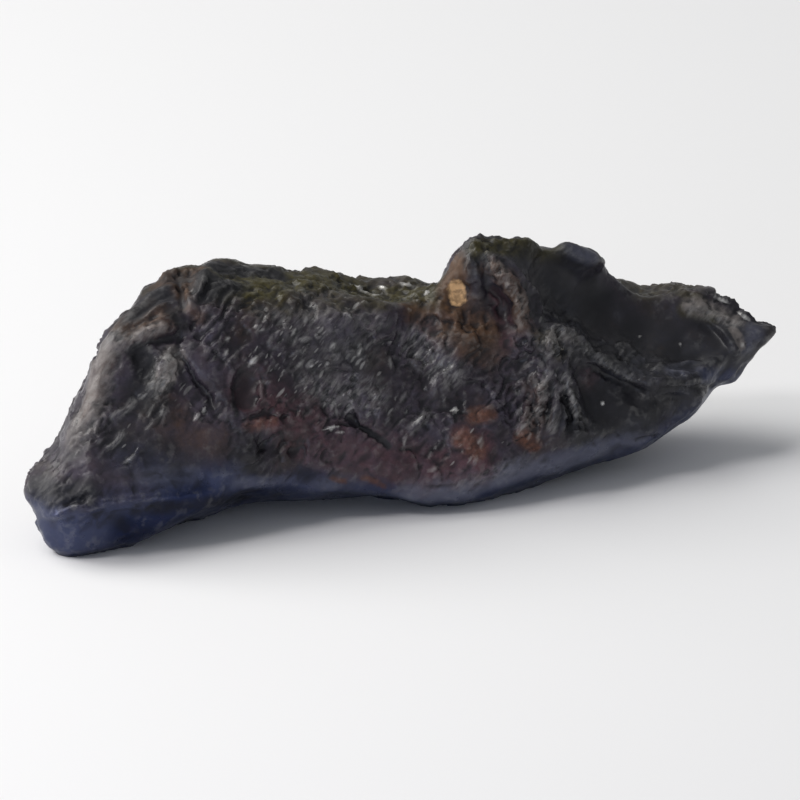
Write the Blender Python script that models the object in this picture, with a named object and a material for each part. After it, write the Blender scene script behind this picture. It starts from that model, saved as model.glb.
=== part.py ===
"""An iron meteorite: one weathered lump, at rest on its worn underside.

Blender 4.5, metres, +Z up. The lump is lofted through eight lines that run from its blunt end to its
nose, as a boat's hull is. Its relief follows: scoops, ridges, grooves and ledges, each pinned to the
side that it is seen from. Last, the lump is cut flat where it rests.

The lines are drawn from the show side, SIGHT_TURN round from the front and SIGHT_RISE up. "Along" runs
to the right there, "out" runs level towards the eye, and "seen" is the height as it looks from there.
Every size in the tables is in millimetres.
"""

import math

import bmesh
import bpy
import numpy as np
from mathutils import Matrix, Vector, noise
from mathutils.bvhtree import BVHTree

MM = 0.001
SIGHT_TURN = math.radians(22)
SIGHT_RISE = math.radians(20)

STATIONS = 170
POINTS_BETWEEN_LINES = 15
END_CROWDING = 0.5  # 0 spaces the stations evenly, 1 crowds them at both ends
ROUNDNESS = 0.7  # 0 joins a section's corners with straight runs, 1 with curves
VOXEL = 0.9 * MM
TRIANGLES_KEPT = 0.19  # of those that the voxels give
BASE_DEPTH = 20 * MM
IRON = (0.030, 0.027, 0.030, 1.0)

BLUNT_TIP = (-60.2, 18.0, 8.7)  # along, out, up
NOSE_TIP = (60.3, -30.0, 19.2)

# The outline as it is seen: along, seen.
CREST_SEEN = [
    (-60.2, 2.7), (-59.7, 4.8), (-57.6, 6.6), (-56.0, 9.0), (-54.4, 11.0), (-53.4, 13.0), (-52.0, 16.0),
    (-49.6, 21.1), (-48.3, 24.8), (-46.4, 28.2), (-43.2, 31.2), (-40.0, 35.0), (-37.9, 36.3), (-37.4, 37.9),
    (-35.2, 38.1), (-31.2, 38.8), (-30.1, 39.4), (-27.8, 39.5), (-25.6, 39.0), (-19.2, 38.1), (-12.8, 37.8),
    (-9.4, 37.6), (-8.0, 37.1), (-6.4, 36.2), (-2.4, 36.3), (0.3, 36.8), (3.2, 36.3), (5.1, 35.3),
    (6.4, 35.7), (7.4, 37.3), (8.3, 39.4), (10.4, 41.1), (11.5, 42.7), (13.6, 43.2), (17.6, 43.2),
    (20.8, 42.6), (24.0, 41.6), (25.9, 41.6), (27.5, 42.1), (29.1, 41.8), (30.7, 40.5), (32.4, 39.5),
    (33.2, 37.7), (35.2, 36.8), (38.4, 35.7), (40.3, 35.4), (42.4, 36.0), (46.4, 35.7), (48.8, 35.0),
    (50.9, 34.2), (52.8, 33.1), (54.4, 32.0), (56.0, 30.4), (57.9, 29.4), (59.5, 29.1), (60.3, 28.3),
]
KEEL_SEEN = [
    (-60.2, 1.4), (-59.0, -0.2), (-57.8, -1.8), (-57.0, -4.0), (-55.7, -5.9), (-54.1, -7.5), (-52.6, -8.2),
    (-48.0, -7.5), (-43.2, -6.6), (-38.4, -4.6), (-33.6, -2.4), (-31.0, -2.1), (-28.0, -0.8), (-25.6, 0.0),
    (-19.2, 0.6), (-11.2, 0.8), (-4.8, 1.4), (0.0, 1.0), (3.2, 0.2), (5.6, -0.2), (12.8, 0.5), (16.0, 1.6),
    (19.2, 2.1), (25.6, 4.5), (32.0, 6.6), (38.4, 8.3), (40.3, 9.1), (42.4, 11.2), (47.2, 13.6),
    (48.8, 15.5), (49.9, 17.1), (50.2, 19.0), (53.3, 19.4), (54.2, 20.2), (54.9, 21.9), (57.1, 24.0),
    (58.9, 26.2), (60.3, 28.2),
]

# How far out the outline lies: along, out.
CREST_OUT = [(-60.2, 18), (-52, 12), (-44, 2), (-37, -5), (-28, -10), (-16, -14), (0, -18), (8, -18),
             (14, -15), (24, -20), (33, -26), (42, -30), (52, -31), (60.3, -30)]
KEEL_OUT = [(-60.2, 18), (-56, 22.5), (-52.6, 24.3), (-48, 23.5), (-43, 21.5), (-38, 19), (-28, 13),
            (-16, 7.3), (0, 1.2), (5.6, 1), (12.8, -1), (19, -5), (26, -9), (32, -12), (38, -15), (42, -18),
            (47, -21), (50, -24), (54, -27), (57, -29), (60.3, -30)]

# The other lines: along, out, up.
SHOULDER = [BLUNT_TIP, (-58, 19.5, 12), (-54, 18.5, 16.5), (-49, 17, 23.5), (-45, 12, 31), (-37, 8, 35.5),
            (-27, 5, 35), (-16, 2, 33.6), (-3, -3, 31.8), (4, -8, 31), (11, -10, 37.2), (18, -12, 38.6),
            (26, -17, 34.8), (35, -24, 28), (45, -27, 25), (54, -29, 21.5), NOSE_TIP]
BELLY = [BLUNT_TIP, (-58.5, 22, 8.6), (-54, 26.5, 9), (-49, 27.5, 9.5), (-40, 23.5, 10.5), (-28, 17.5, 11),
         (-16, 12, 11), (0, 6.5, 9), (14, 2.5, 8), (22, -1, 9), (30, -5, 11), (42, -12, 14.5),
         (50, -18, 16.5), (56, -25, 18), NOSE_TIP]
SOLE = [BLUNT_TIP, (-57, 17.5, 4), (-53, 14, 0), (-48, 11, -1.2), (-30, 1, -1.2), (-10, -8, -1),
        (5, -12, -1.4), (20, -20, -0.6), (30, -24, 1), (40, -27, 4), (50, -31, 10), NOSE_TIP]
BACK_FOOT = [BLUNT_TIP, (-56.5, 9, 5), (-50, 4, 2), (-40, -4, 1), (-28, -12, 0.2), (-16, -19, -0.4),
             (0, -25, -0.4), (14, -29, 0.4), (26, -33, 2.5), (38, -36, 7), (50, -36, 12.5), NOSE_TIP]
BACK_BELLY = [BLUNT_TIP, (-58, 10.5, 9), (-54, 4, 11.5), (-48, -3, 14), (-40, -10, 15), (-28, -18.5, 15),
              (-16, -25.5, 14), (0, -32, 13.5), (14, -36.5, 15), (30, -41, 15.5), (42, -42, 16.5),
              (52, -38.5, 17.5), (58, -33.5, 18.6), NOSE_TIP]
BACK_SHOULDER = [BLUNT_TIP, (-57, 12, 13), (-52, 6, 20), (-44, -5, 28), (-37, -13, 33.5), (-28, -18.5, 32),
                 (-16, -23, 29), (0, -27, 26), (8, -27, 28), (14, -26, 33), (24, -31, 30), (33, -36, 26),
                 (42, -38, 23.5), (52, -36, 21.5), NOSE_TIP]


def sight(right, up, towards):
    """A side to draw on: its rightward and upward directions, and the one towards the eye."""
    return Vector(right), Vector(up), Vector(towards)


SIN_RISE, COS_RISE = math.sin(SIGHT_RISE), math.cos(SIGHT_RISE)
SHOW = sight((1, 0, 0), (0, -SIN_RISE, COS_RISE), (0, COS_RISE, SIN_RISE))
BACK = sight((1, 0, 0), (0, 0, 1), (0, -1, 0))
TOP = sight((1, 0, 0), (0, 1, 0), (0, 0, 1))
BLUNT_END = sight((0, 1, 0), (0, 0, 1), (-1, 0, 0))

# Scoops with crisp brims, melted out in flight: side, rightward, upward, radius, depth.
SCOOPS = [
    (SHOW, 13.0, 30.6, 6.0, 2.6),
    (SHOW, 16.6, 23.0, 5.5, 2.0),
    (SHOW, 18.6, 16.6, 4.5, 1.4),
    (SHOW, 33.5, 16.5, 7.0, 1.6),
    (SHOW, -24.4, 18.6, 4.0, 1.0),
    (SHOW, -43.5, 16.0, 6.0, 1.1),
    (SHOW, -4.0, 22.5, 7.0, 0.9),
    (SHOW, -47.0, -3.6, 8.0, 1.4),
    (SHOW, -14.0, 4.0, 6.5, 1.2),
    (BACK, -40.0, 20.0, 9.0, 2.4),
    (BACK, -26.0, 23.0, 8.0, 2.2),
    (BACK, -30.0, 9.0, 7.0, 1.8),
    (BACK, -12.0, 18.0, 9.0, 2.6),
    (BACK, 2.0, 9.0, 7.5, 2.0),
    (BACK, 6.0, 22.0, 7.0, 2.0),
    (BACK, 19.0, 24.0, 8.5, 2.4),
    (BACK, 22.0, 9.0, 7.0, 1.8),
    (BACK, 36.0, 17.0, 8.5, 2.2),
    (BACK, 49.0, 18.5, 5.0, 1.4),
    (TOP, -24.0, -5.0, 6.5, 1.3),
    (TOP, -7.0, -11.0, 6.0, 1.5),
    (TOP, 38.0, -31.0, 6.0, 1.2),
    (BLUNT_END, 7.0, 16.0, 7.5, 1.8),
    (BLUNT_END, 15.0, 6.0, 5.0, 1.0),
]

# Soft hollows and swellings along a few places: side, places, radius, height.
SWELLS = [
    (SHOW, [(26.0, 35.0), (33.0, 31.6), (41.0, 28.0), (48.0, 26.2)], 9.5, -3.6),
    (SHOW, [(27.6, 40.6), (30.6, 39.2)], 3.0, 1.9),
    (SHOW, [(-57.0, 3.4)], 4.5, 0.9),
    (SHOW, [(3.0, 3.4), (9.0, 4.4)], 6.5, 1.4),
    (SHOW, [(51.4, 22.6)], 4.0, 1.2),
    (SHOW, [(-22.0, 27.0), (-12.0, 27.0)], 5.0, 1.0),
    (SHOW, [(-36.0, 10.0), (-26.0, 8.0)], 5.0, 0.9),
    (BACK, [(-6.0, 27.0)], 6.0, 1.4),
    (BACK, [(44.0, 20.0)], 5.5, 1.2),
    (BACK, [(-16.0, 8.0), (-8.0, 6.0)], 5.0, 1.2),
]

# Crisp ridges and cracks along their places: side, places, half width, height.
TRAILS = [
    (SHOW, [(12.5, 41.7), (16.0, 38.0), (18.2, 34.6), (19.6, 30.5), (21.0, 26.8)], 2.9, 3.0),
    (SHOW, [(10.4, 40.0), (11.8, 38.2), (12.5, 35.5), (12.2, 32.8)], 2.2, 1.5),
    (SHOW, [(28.4, 27.0), (25.6, 28.4), (23.8, 26.6), (24.4, 23.0)], 2.1, 1.9),
    (SHOW, [(21.5, 26.8), (25.0, 25.6), (28.8, 25.4), (32.5, 23.4), (36.5, 20.9), (40.0, 19.0)], 2.4, 1.8),
    (SHOW, [(40.0, 19.0), (45.1, 19.3), (50.4, 20.0), (53.4, 20.4)], 1.9, 1.5),
    (SHOW, [(48.2, 32.4), (51.2, 30.2), (53.4, 26.8), (54.0, 23.4)], 2.0, 1.4),
    (SHOW, [(16.4, 34.6), (18.0, 30.6), (19.2, 26.6), (20.4, 21.6)], 2.0, -1.8),
    (SHOW, [(28.6, 23.2), (32.0, 21.6), (36.0, 19.0), (40.4, 17.2), (44.6, 17.0), (47.6, 17.4)], 2.0, -2.0),
    (SHOW, [(24.2, 22.0), (22.6, 17.4), (19.4, 12.0)], 1.8, 1.9),
    (SHOW, [(25.6, 21.6), (25.0, 15.6), (23.8, 10.0)], 1.6, 1.5),
    (SHOW, [(27.0, 21.6), (27.6, 17.0), (29.2, 12.4)], 1.8, 2.0),
    (SHOW, [(-34.6, 23.8), (-32.4, 20.0), (-30.2, 17.2), (-28.4, 14.8)], 1.8, -1.5),
    (SHOW, [(-37.2, 22.6), (-38.2, 19.6)], 2.6, 1.7),
    (SHOW, [(-30.2, 38.4), (-31.0, 35.4), (-32.6, 32.6)], 1.8, 1.2),
    (SHOW, [(-10.4, 16.2), (-7.4, 13.6), (-4.6, 11.6), (-1.8, 9.8)], 1.7, -1.5),
    (SHOW, [(-56.4, -1.0), (-50.4, -0.4), (-43.2, 1.3), (-38.4, 2.1), (-33.6, 2.9)], 1.8, 1.3),
    (SHOW, [(-48.6, 20.0), (-45.6, 26.0), (-41.6, 30.6)], 2.4, 1.2),
    (SHOW, [(-2.4, 15.0), (3.0, 17.4), (8.6, 21.6), (11.0, 25.4)], 2.2, 1.1),
    (SHOW, [(35.4, 9.9), (40.6, 11.6)], 1.7, 1.1),
    (BACK, [(-34.0, 31.0), (-32.0, 22.0), (-35.0, 12.0)], 2.6, 1.5),
    (BACK, [(-20.0, 30.0), (-18.0, 20.0), (-22.0, 10.0), (-18.0, 4.0)], 2.6, 1.6),
    (BACK, [(12.0, 34.0), (12.0, 25.0), (9.0, 16.0), (12.0, 6.0)], 2.6, 1.6),
    (BACK, [(28.0, 27.0), (29.0, 18.0), (32.0, 9.0)], 2.4, 1.4),
    (BACK, [(-46.0, 10.0), (-38.0, 6.5), (-28.0, 3.5)], 2.0, 1.2),
    (BACK, [(-48.0, 22.0), (-42.0, 27.0), (-38.0, 32.0)], 2.2, 1.0),
    (TOP, [(-16.0, -2.0), (-14.0, -9.0), (-16.0, -16.0)], 2.0, 1.0),
]

# Rust pits: side, place, radius, depth.
PITS = [
    (SHOW, (-20.8, 14.6), 2.0, 1.8),
    (SHOW, (-16.0, 8.8), 1.8, 1.3),
    (SHOW, (-21.4, 9.6), 2.1, 1.3),
    (SHOW, (9.0, 33.6), 2.1, 1.0),
    (BACK, (-4.0, 8.0), 2.2, 1.5),
    (BACK, (16.0, 15.0), 2.4, 1.6),
    (BACK, (40.0, 10.0), 2.1, 1.3),
    (TOP, (-34.0, -2.0), 2.1, 1.3),
]

# Broad bowls with sharp brims, and the lumpiness under them: size and height.
BOWL_SIZE, BOWL_DEPTH = 9.0, 0.75
LUMP_SIZE, LUMP_HEIGHT = 5.0, 0.55
LUMP_OCTAVES = 4
WORN_WIDTH = 5  # neighbouring sections over which the roughened outline is trued


def clear_scene():
    for obj in list(bpy.data.objects):
        bpy.data.objects.remove(obj)


def read(table, along, column=1):
    """The column of a table at each place along the lump, straight between its rows."""
    return np.interp(along, [row[0] for row in table], [row[column] for row in table])


def up_of(seen, out):
    return (seen + out * SIN_RISE) / COS_RISE


def seen_of(points):
    return points[..., 2] * COS_RISE - points[..., 1] * SIN_RISE


def station_places():
    even = np.linspace(0, 1, STATIONS)
    crowded = (1 - np.cos(np.pi * even)) / 2
    share = even + (crowded - even) * END_CROWDING
    return BLUNT_TIP[0] + (NOSE_TIP[0] - BLUNT_TIP[0]) * share


def corners_of(along):
    """Out and up of the eight lines at each station, from the crest forwards, under and back up."""
    crest_out, keel_out = read(CREST_OUT, along), read(KEEL_OUT, along)
    crest = (crest_out, up_of(read(CREST_SEEN, along), crest_out))
    keel = (keel_out, up_of(read(KEEL_SEEN, along), keel_out))
    shoulder, belly, sole, back_foot, back_belly, back_shoulder = (
        (read(line, along, 1), read(line, along, 2))
        for line in (SHOULDER, BELLY, SOLE, BACK_FOOT, BACK_BELLY, BACK_SHOULDER)
    )
    lines = [crest, shoulder, belly, keel, sole, back_foot, back_belly, back_shoulder]
    return np.stack([np.stack(line, axis=-1) for line in lines], axis=1)


def rings_through(corners):
    """A closed ring through each station's corners, partly straight and partly curved."""
    share = (np.arange(POINTS_BETWEEN_LINES) / POINTS_BETWEEN_LINES)[None, None, :, None]
    start = corners[:, :, None]
    before, end, beyond = (np.roll(corners, shift, axis=1)[:, :, None] for shift in (1, -1, -2))
    straight = start + (end - start) * share
    curve = 0.5 * (
        2 * start
        + (end - before) * share
        + (2 * before - 5 * start + 4 * end - beyond) * share**2
        + (3 * start - before - 3 * end + beyond) * share**3
    )
    mixed = straight + (curve - straight) * ROUNDNESS
    return mixed.reshape(len(corners), -1, 2)


def running_mean(values, width):
    padded = np.pad(values, width // 2, mode="edge")
    return np.convolve(padded, np.ones(width) / width, mode="valid")


def true_up(points, along, width=1):
    """Stretches the rings in height to the outline drawn, by what this many neighbours need on average."""
    seen = seen_of(points)
    low, high = seen.min(axis=1), seen.max(axis=1)
    lift_low = running_mean(read(KEEL_SEEN, along) - low, width)[:, None]
    lift_high = running_mean(read(CREST_SEEN, along) - high, width)[:, None]
    share = (seen - low[:, None]) / np.maximum(high - low, 1e-6)[:, None]
    points[..., 2] += (lift_low + (lift_high - lift_low) * share) / COS_RISE
    return points


class Skin:
    """The lofted surface, as rings of points that the relief moves."""

    def __init__(self):
        self.along = station_places()
        rings = rings_through(corners_of(self.along))
        across = np.broadcast_to(self.along[:, None, None], (*rings.shape[:2], 1))
        self.shape = rings.shape[:2]
        loft = true_up(np.concatenate([across, rings], axis=2), self.along)
        self.points = loft.reshape(-1, 3)
        self.faces = self.walls() + self.ends()
        self.mesh = bpy.data.meshes.new("meteorite")
        self.mesh.from_pydata([Vector(p) for p in self.points], [], self.faces)
        self.settle()

    def walls(self):
        count, around = self.shape
        return [
            (i * around + j, (i + 1) * around + j, (i + 1) * around + after, i * around + after)
            for i in range(count - 1)
            for j, after in ((j, (j + 1) % around) for j in range(around))
        ]

    def ends(self):
        count, around = self.shape
        first = tuple(range(around))
        last = tuple((count - 1) * around + j for j in reversed(range(around)))
        return [first, last]

    def settle(self):
        """Reads the normals again, and the surface that the next features are pinned to."""
        self.mesh.vertices.foreach_set("co", self.points.astype(np.float32).ravel())
        self.mesh.update()
        normals = np.empty(len(self.points) * 3, np.float32)
        self.mesh.vertex_normals.foreach_get("vector", normals)
        self.normals = normals.reshape(-1, 3).astype(float)
        self.surface = BVHTree.FromPolygons([Vector(p) for p in self.points], self.faces)

    def pin(self, side, rightward, upward):
        """The point of the surface that is seen there from that side, and the normal there."""
        right, up, towards = side
        eye = right * rightward + up * upward + towards * 200
        place, normal, _, _ = self.surface.ray_cast(eye, -towards)
        if place is None:
            raise ValueError(f"nothing is seen at {rightward}, {upward}")
        return np.array(place), np.array(normal)

    def scoop(self, side, rightward, upward, radius, depth):
        """Presses a ball into the skin, which leaves a hollow with a crisp brim."""
        place, normal = self.pin(side, rightward, upward)
        ball = (radius**2 + depth**2) / (2 * depth)
        offset = self.points - (place + normal * (ball - depth))
        along_normal = offset @ normal
        inside = ball**2 - (offset**2).sum(axis=1) + along_normal**2
        reach = -along_normal - np.sqrt(np.maximum(inside, 0))
        near = np.linalg.norm(self.points - place, axis=1) < 1.8 * radius
        pressed = near & (self.normals @ normal > 0) & (inside > 0) & (reach < 0)
        self.points[pressed] += reach[pressed, None] * normal

    def follow(self, side, places):
        """Each point's distance from the pinned places' path, and how far along the path it is."""
        path = np.array([self.pin(side, *place)[0] for place in places])
        gap = np.linalg.norm(self.points - path[0], axis=1)
        travelled = np.zeros(len(self.points))
        for i, (start, end) in enumerate(zip(path[:-1], path[1:])):
            run = end - start
            share = np.clip((self.points - start) @ run / (run @ run), 0, 1)
            distance = np.linalg.norm(self.points - start - share[:, None] * run, axis=1)
            closer = distance < gap
            gap[closer] = distance[closer]
            travelled[closer] = (i + share[closer]) / (len(path) - 1)
        return gap, travelled

    def swell(self, side, places, radius, height):
        """A rounded swelling along the places, or a soft hollow where the height is below zero."""
        gap, _ = self.follow(side, places)
        rise = height * np.clip(1 - (gap / radius) ** 2, 0, 1) ** 1.5
        self.points += rise[:, None] * self.normals

    def trail(self, side, places, half_width, height):
        """A crisp ridge along the places, or a crack where the height is below zero, fading at its ends."""
        gap, travelled = self.follow(side, places)
        rise = height * np.clip(1 - gap / half_width, 0, 1) ** 1.3
        rise *= 0.45 + 0.55 * np.sin(np.pi * travelled)
        self.points += rise[:, None] * self.normals

    def roughen(self):
        """Broad bowls with sharp brims between them, over an uneven ground. The same on every run."""
        rise = np.empty(len(self.points))
        for i, point in enumerate(self.points):
            warped = Vector(point) / BOWL_SIZE + noise.noise_vector(Vector(point) / 11) * 0.35
            nearest = noise.voronoi(warped)[0][0]
            ground = noise.fractal(Vector(point) / LUMP_SIZE, 0.9, 2.0, LUMP_OCTAVES)
            rise[i] = BOWL_DEPTH * (2.2 * nearest**2 - 0.45) + LUMP_HEIGHT * ground
        self.points += rise[:, None] * self.normals


def weathered_skin():
    skin = Skin()
    for feature in SCOOPS:
        skin.scoop(*feature)
    skin.settle()
    for feature in SWELLS:
        skin.swell(*feature)
    skin.settle()
    skin.roughen()
    skin.settle()
    for feature in TRAILS:
        skin.trail(*feature)
    skin.settle()
    for side, place, radius, depth in PITS:
        skin.swell(side, [place], radius, -depth)
    true_up(skin.points.reshape(*skin.shape, 3), skin.along, WORN_WIDTH)
    skin.settle()
    return skin


def stand_in_row(mesh):
    """From the show side's millimetres to the row: X runs along the lump, and its box is centred."""
    to_row = Matrix(((1, 0, 0), (0, -1, 0), (0, 0, 1))).to_4x4()  # out is -Y
    mesh.transform(Matrix.Rotation(-SIGHT_TURN, 4, "Z") @ to_row @ Matrix.Scale(MM, 4))
    low = Vector(min(v.co[axis] for v in mesh.vertices) for axis in range(3))
    high = Vector(max(v.co[axis] for v in mesh.vertices) for axis in range(3))
    middle = (low + high) / 2
    mesh.transform(Matrix.Translation((-middle.x, -middle.y, 0)))
    mesh.flip_normals()
    return middle


def iron_material():
    material = bpy.data.materials.new("weathered iron")
    material.use_nodes = True
    surface = material.node_tree.nodes["Principled BSDF"]
    surface.inputs["Base Color"].default_value = IRON
    surface.inputs["Roughness"].default_value = 0.5
    surface.inputs["Metallic"].default_value = 0.6
    return material


def ground_cutter(size):
    """A box whose top face is the plane that the lump stands on."""
    mesh = bpy.data.meshes.new("ground")
    form = bmesh.new()
    bmesh.ops.create_cube(form, size=1)
    bmesh.ops.scale(form, vec=(size, size, BASE_DEPTH), verts=form.verts)
    bmesh.ops.translate(form, vec=(0, 0, -BASE_DEPTH / 2), verts=form.verts)
    form.to_mesh(mesh)
    form.free()
    cutter = bpy.data.objects.new("ground", mesh)
    cutter.hide_render = True
    cutter.display_type = "WIRE"
    bpy.context.scene.collection.objects.link(cutter)
    return cutter


def build_meteorite():
    skin = weathered_skin()
    stand_in_row(skin.mesh)
    skin.mesh.materials.append(iron_material())
    lump = bpy.data.objects.new("meteorite", skin.mesh)
    bpy.context.scene.collection.objects.link(lump)
    even = lump.modifiers.new("even", "REMESH")
    even.mode = "VOXEL"
    even.voxel_size = VOXEL
    fewer = lump.modifiers.new("fewer", "DECIMATE")
    fewer.ratio = TRIANGLES_KEPT
    rest = lump.modifiers.new("rest", "BOOLEAN")
    rest.operation = "DIFFERENCE"
    rest.solver = "EXACT"
    rest.object = ground_cutter(size=0.2)
    return lump


clear_scene()
build_meteorite()
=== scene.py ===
"""Dresses the iron meteorite: the fine relief of its crust, its rust, its bare metal with painted glints, its
painted shade, reflections and highlights, and a pale stage.

The lump's form comes from the frame. Its crust is a copy of that form on a fine mesh, sculpted with
strokes that are pinned to the side it is shown from, then roughened by a Geometry Nodes tree.
"""

import math
from dataclasses import dataclass

import bmesh
import bpy
import numpy as np
from bpy.props import FloatProperty, FloatVectorProperty, IntProperty, PointerProperty
from mathutils import Matrix, Vector
from mathutils.bvhtree import BVHTree
from mathutils.kdtree import KDTree


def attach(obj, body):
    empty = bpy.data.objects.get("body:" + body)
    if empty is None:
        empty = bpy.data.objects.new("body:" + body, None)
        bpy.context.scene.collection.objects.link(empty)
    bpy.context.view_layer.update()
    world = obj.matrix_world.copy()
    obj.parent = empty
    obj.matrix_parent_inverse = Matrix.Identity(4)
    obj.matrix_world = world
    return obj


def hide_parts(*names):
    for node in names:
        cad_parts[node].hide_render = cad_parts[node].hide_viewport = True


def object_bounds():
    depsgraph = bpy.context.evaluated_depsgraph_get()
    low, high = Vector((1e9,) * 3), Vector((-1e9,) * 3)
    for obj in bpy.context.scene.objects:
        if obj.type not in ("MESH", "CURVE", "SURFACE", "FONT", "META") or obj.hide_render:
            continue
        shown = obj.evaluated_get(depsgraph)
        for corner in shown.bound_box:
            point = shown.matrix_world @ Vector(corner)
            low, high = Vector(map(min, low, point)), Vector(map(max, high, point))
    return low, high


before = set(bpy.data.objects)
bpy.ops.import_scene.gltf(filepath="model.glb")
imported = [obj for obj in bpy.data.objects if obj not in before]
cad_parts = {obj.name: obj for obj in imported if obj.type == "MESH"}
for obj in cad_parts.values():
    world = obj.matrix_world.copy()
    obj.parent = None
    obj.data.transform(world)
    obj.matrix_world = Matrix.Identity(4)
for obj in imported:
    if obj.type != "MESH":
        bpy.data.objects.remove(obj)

CAD_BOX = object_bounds()

bl_info = {
    "name": "Iron meteorite",
    "version": (1, 0, 0),
    "blender": (4, 5, 0),
    "location": "3D View > Sidebar > Meteorite",
    "description": "Builds the meteorite's crust over its frame, and its stage",
    "category": "Add Mesh",
}

MM = 0.001
NODE = "meteorite"
BODY = "root"

# The side that the lump is shown from. Places on it are in millimetres, rightward and upward as seen.
SIGHT_TURN = math.radians(-22)
SIGHT_RISE = math.radians(20)
SEEN_MIDDLE = 0.05  # half way between the seen outline's left and right ends
SEEN_TOP = 43.2  # the seen outline's highest place

# Paths that are both sculpted and tinted.
SPINE = [(14.1, 39.8), (16.2, 37), (18.2, 34.6), (19.4, 32), (19.4, 29.4)]
LOW_NICK = [(-46.4, 9.3), (-45.1, 10.2), (-44.2, 11.5)]
HIGH_NICK = [(-45.9, 14.2), (-43.5, 15.2), (-42.4, 16.5)]
FAN_GAP = [(24.3, 18.8), (23.9, 15.6), (23.2, 12.4)]
FAR_FAN_GAP = [(26, 18), (27, 14.6), (27.2, 12)]

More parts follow.
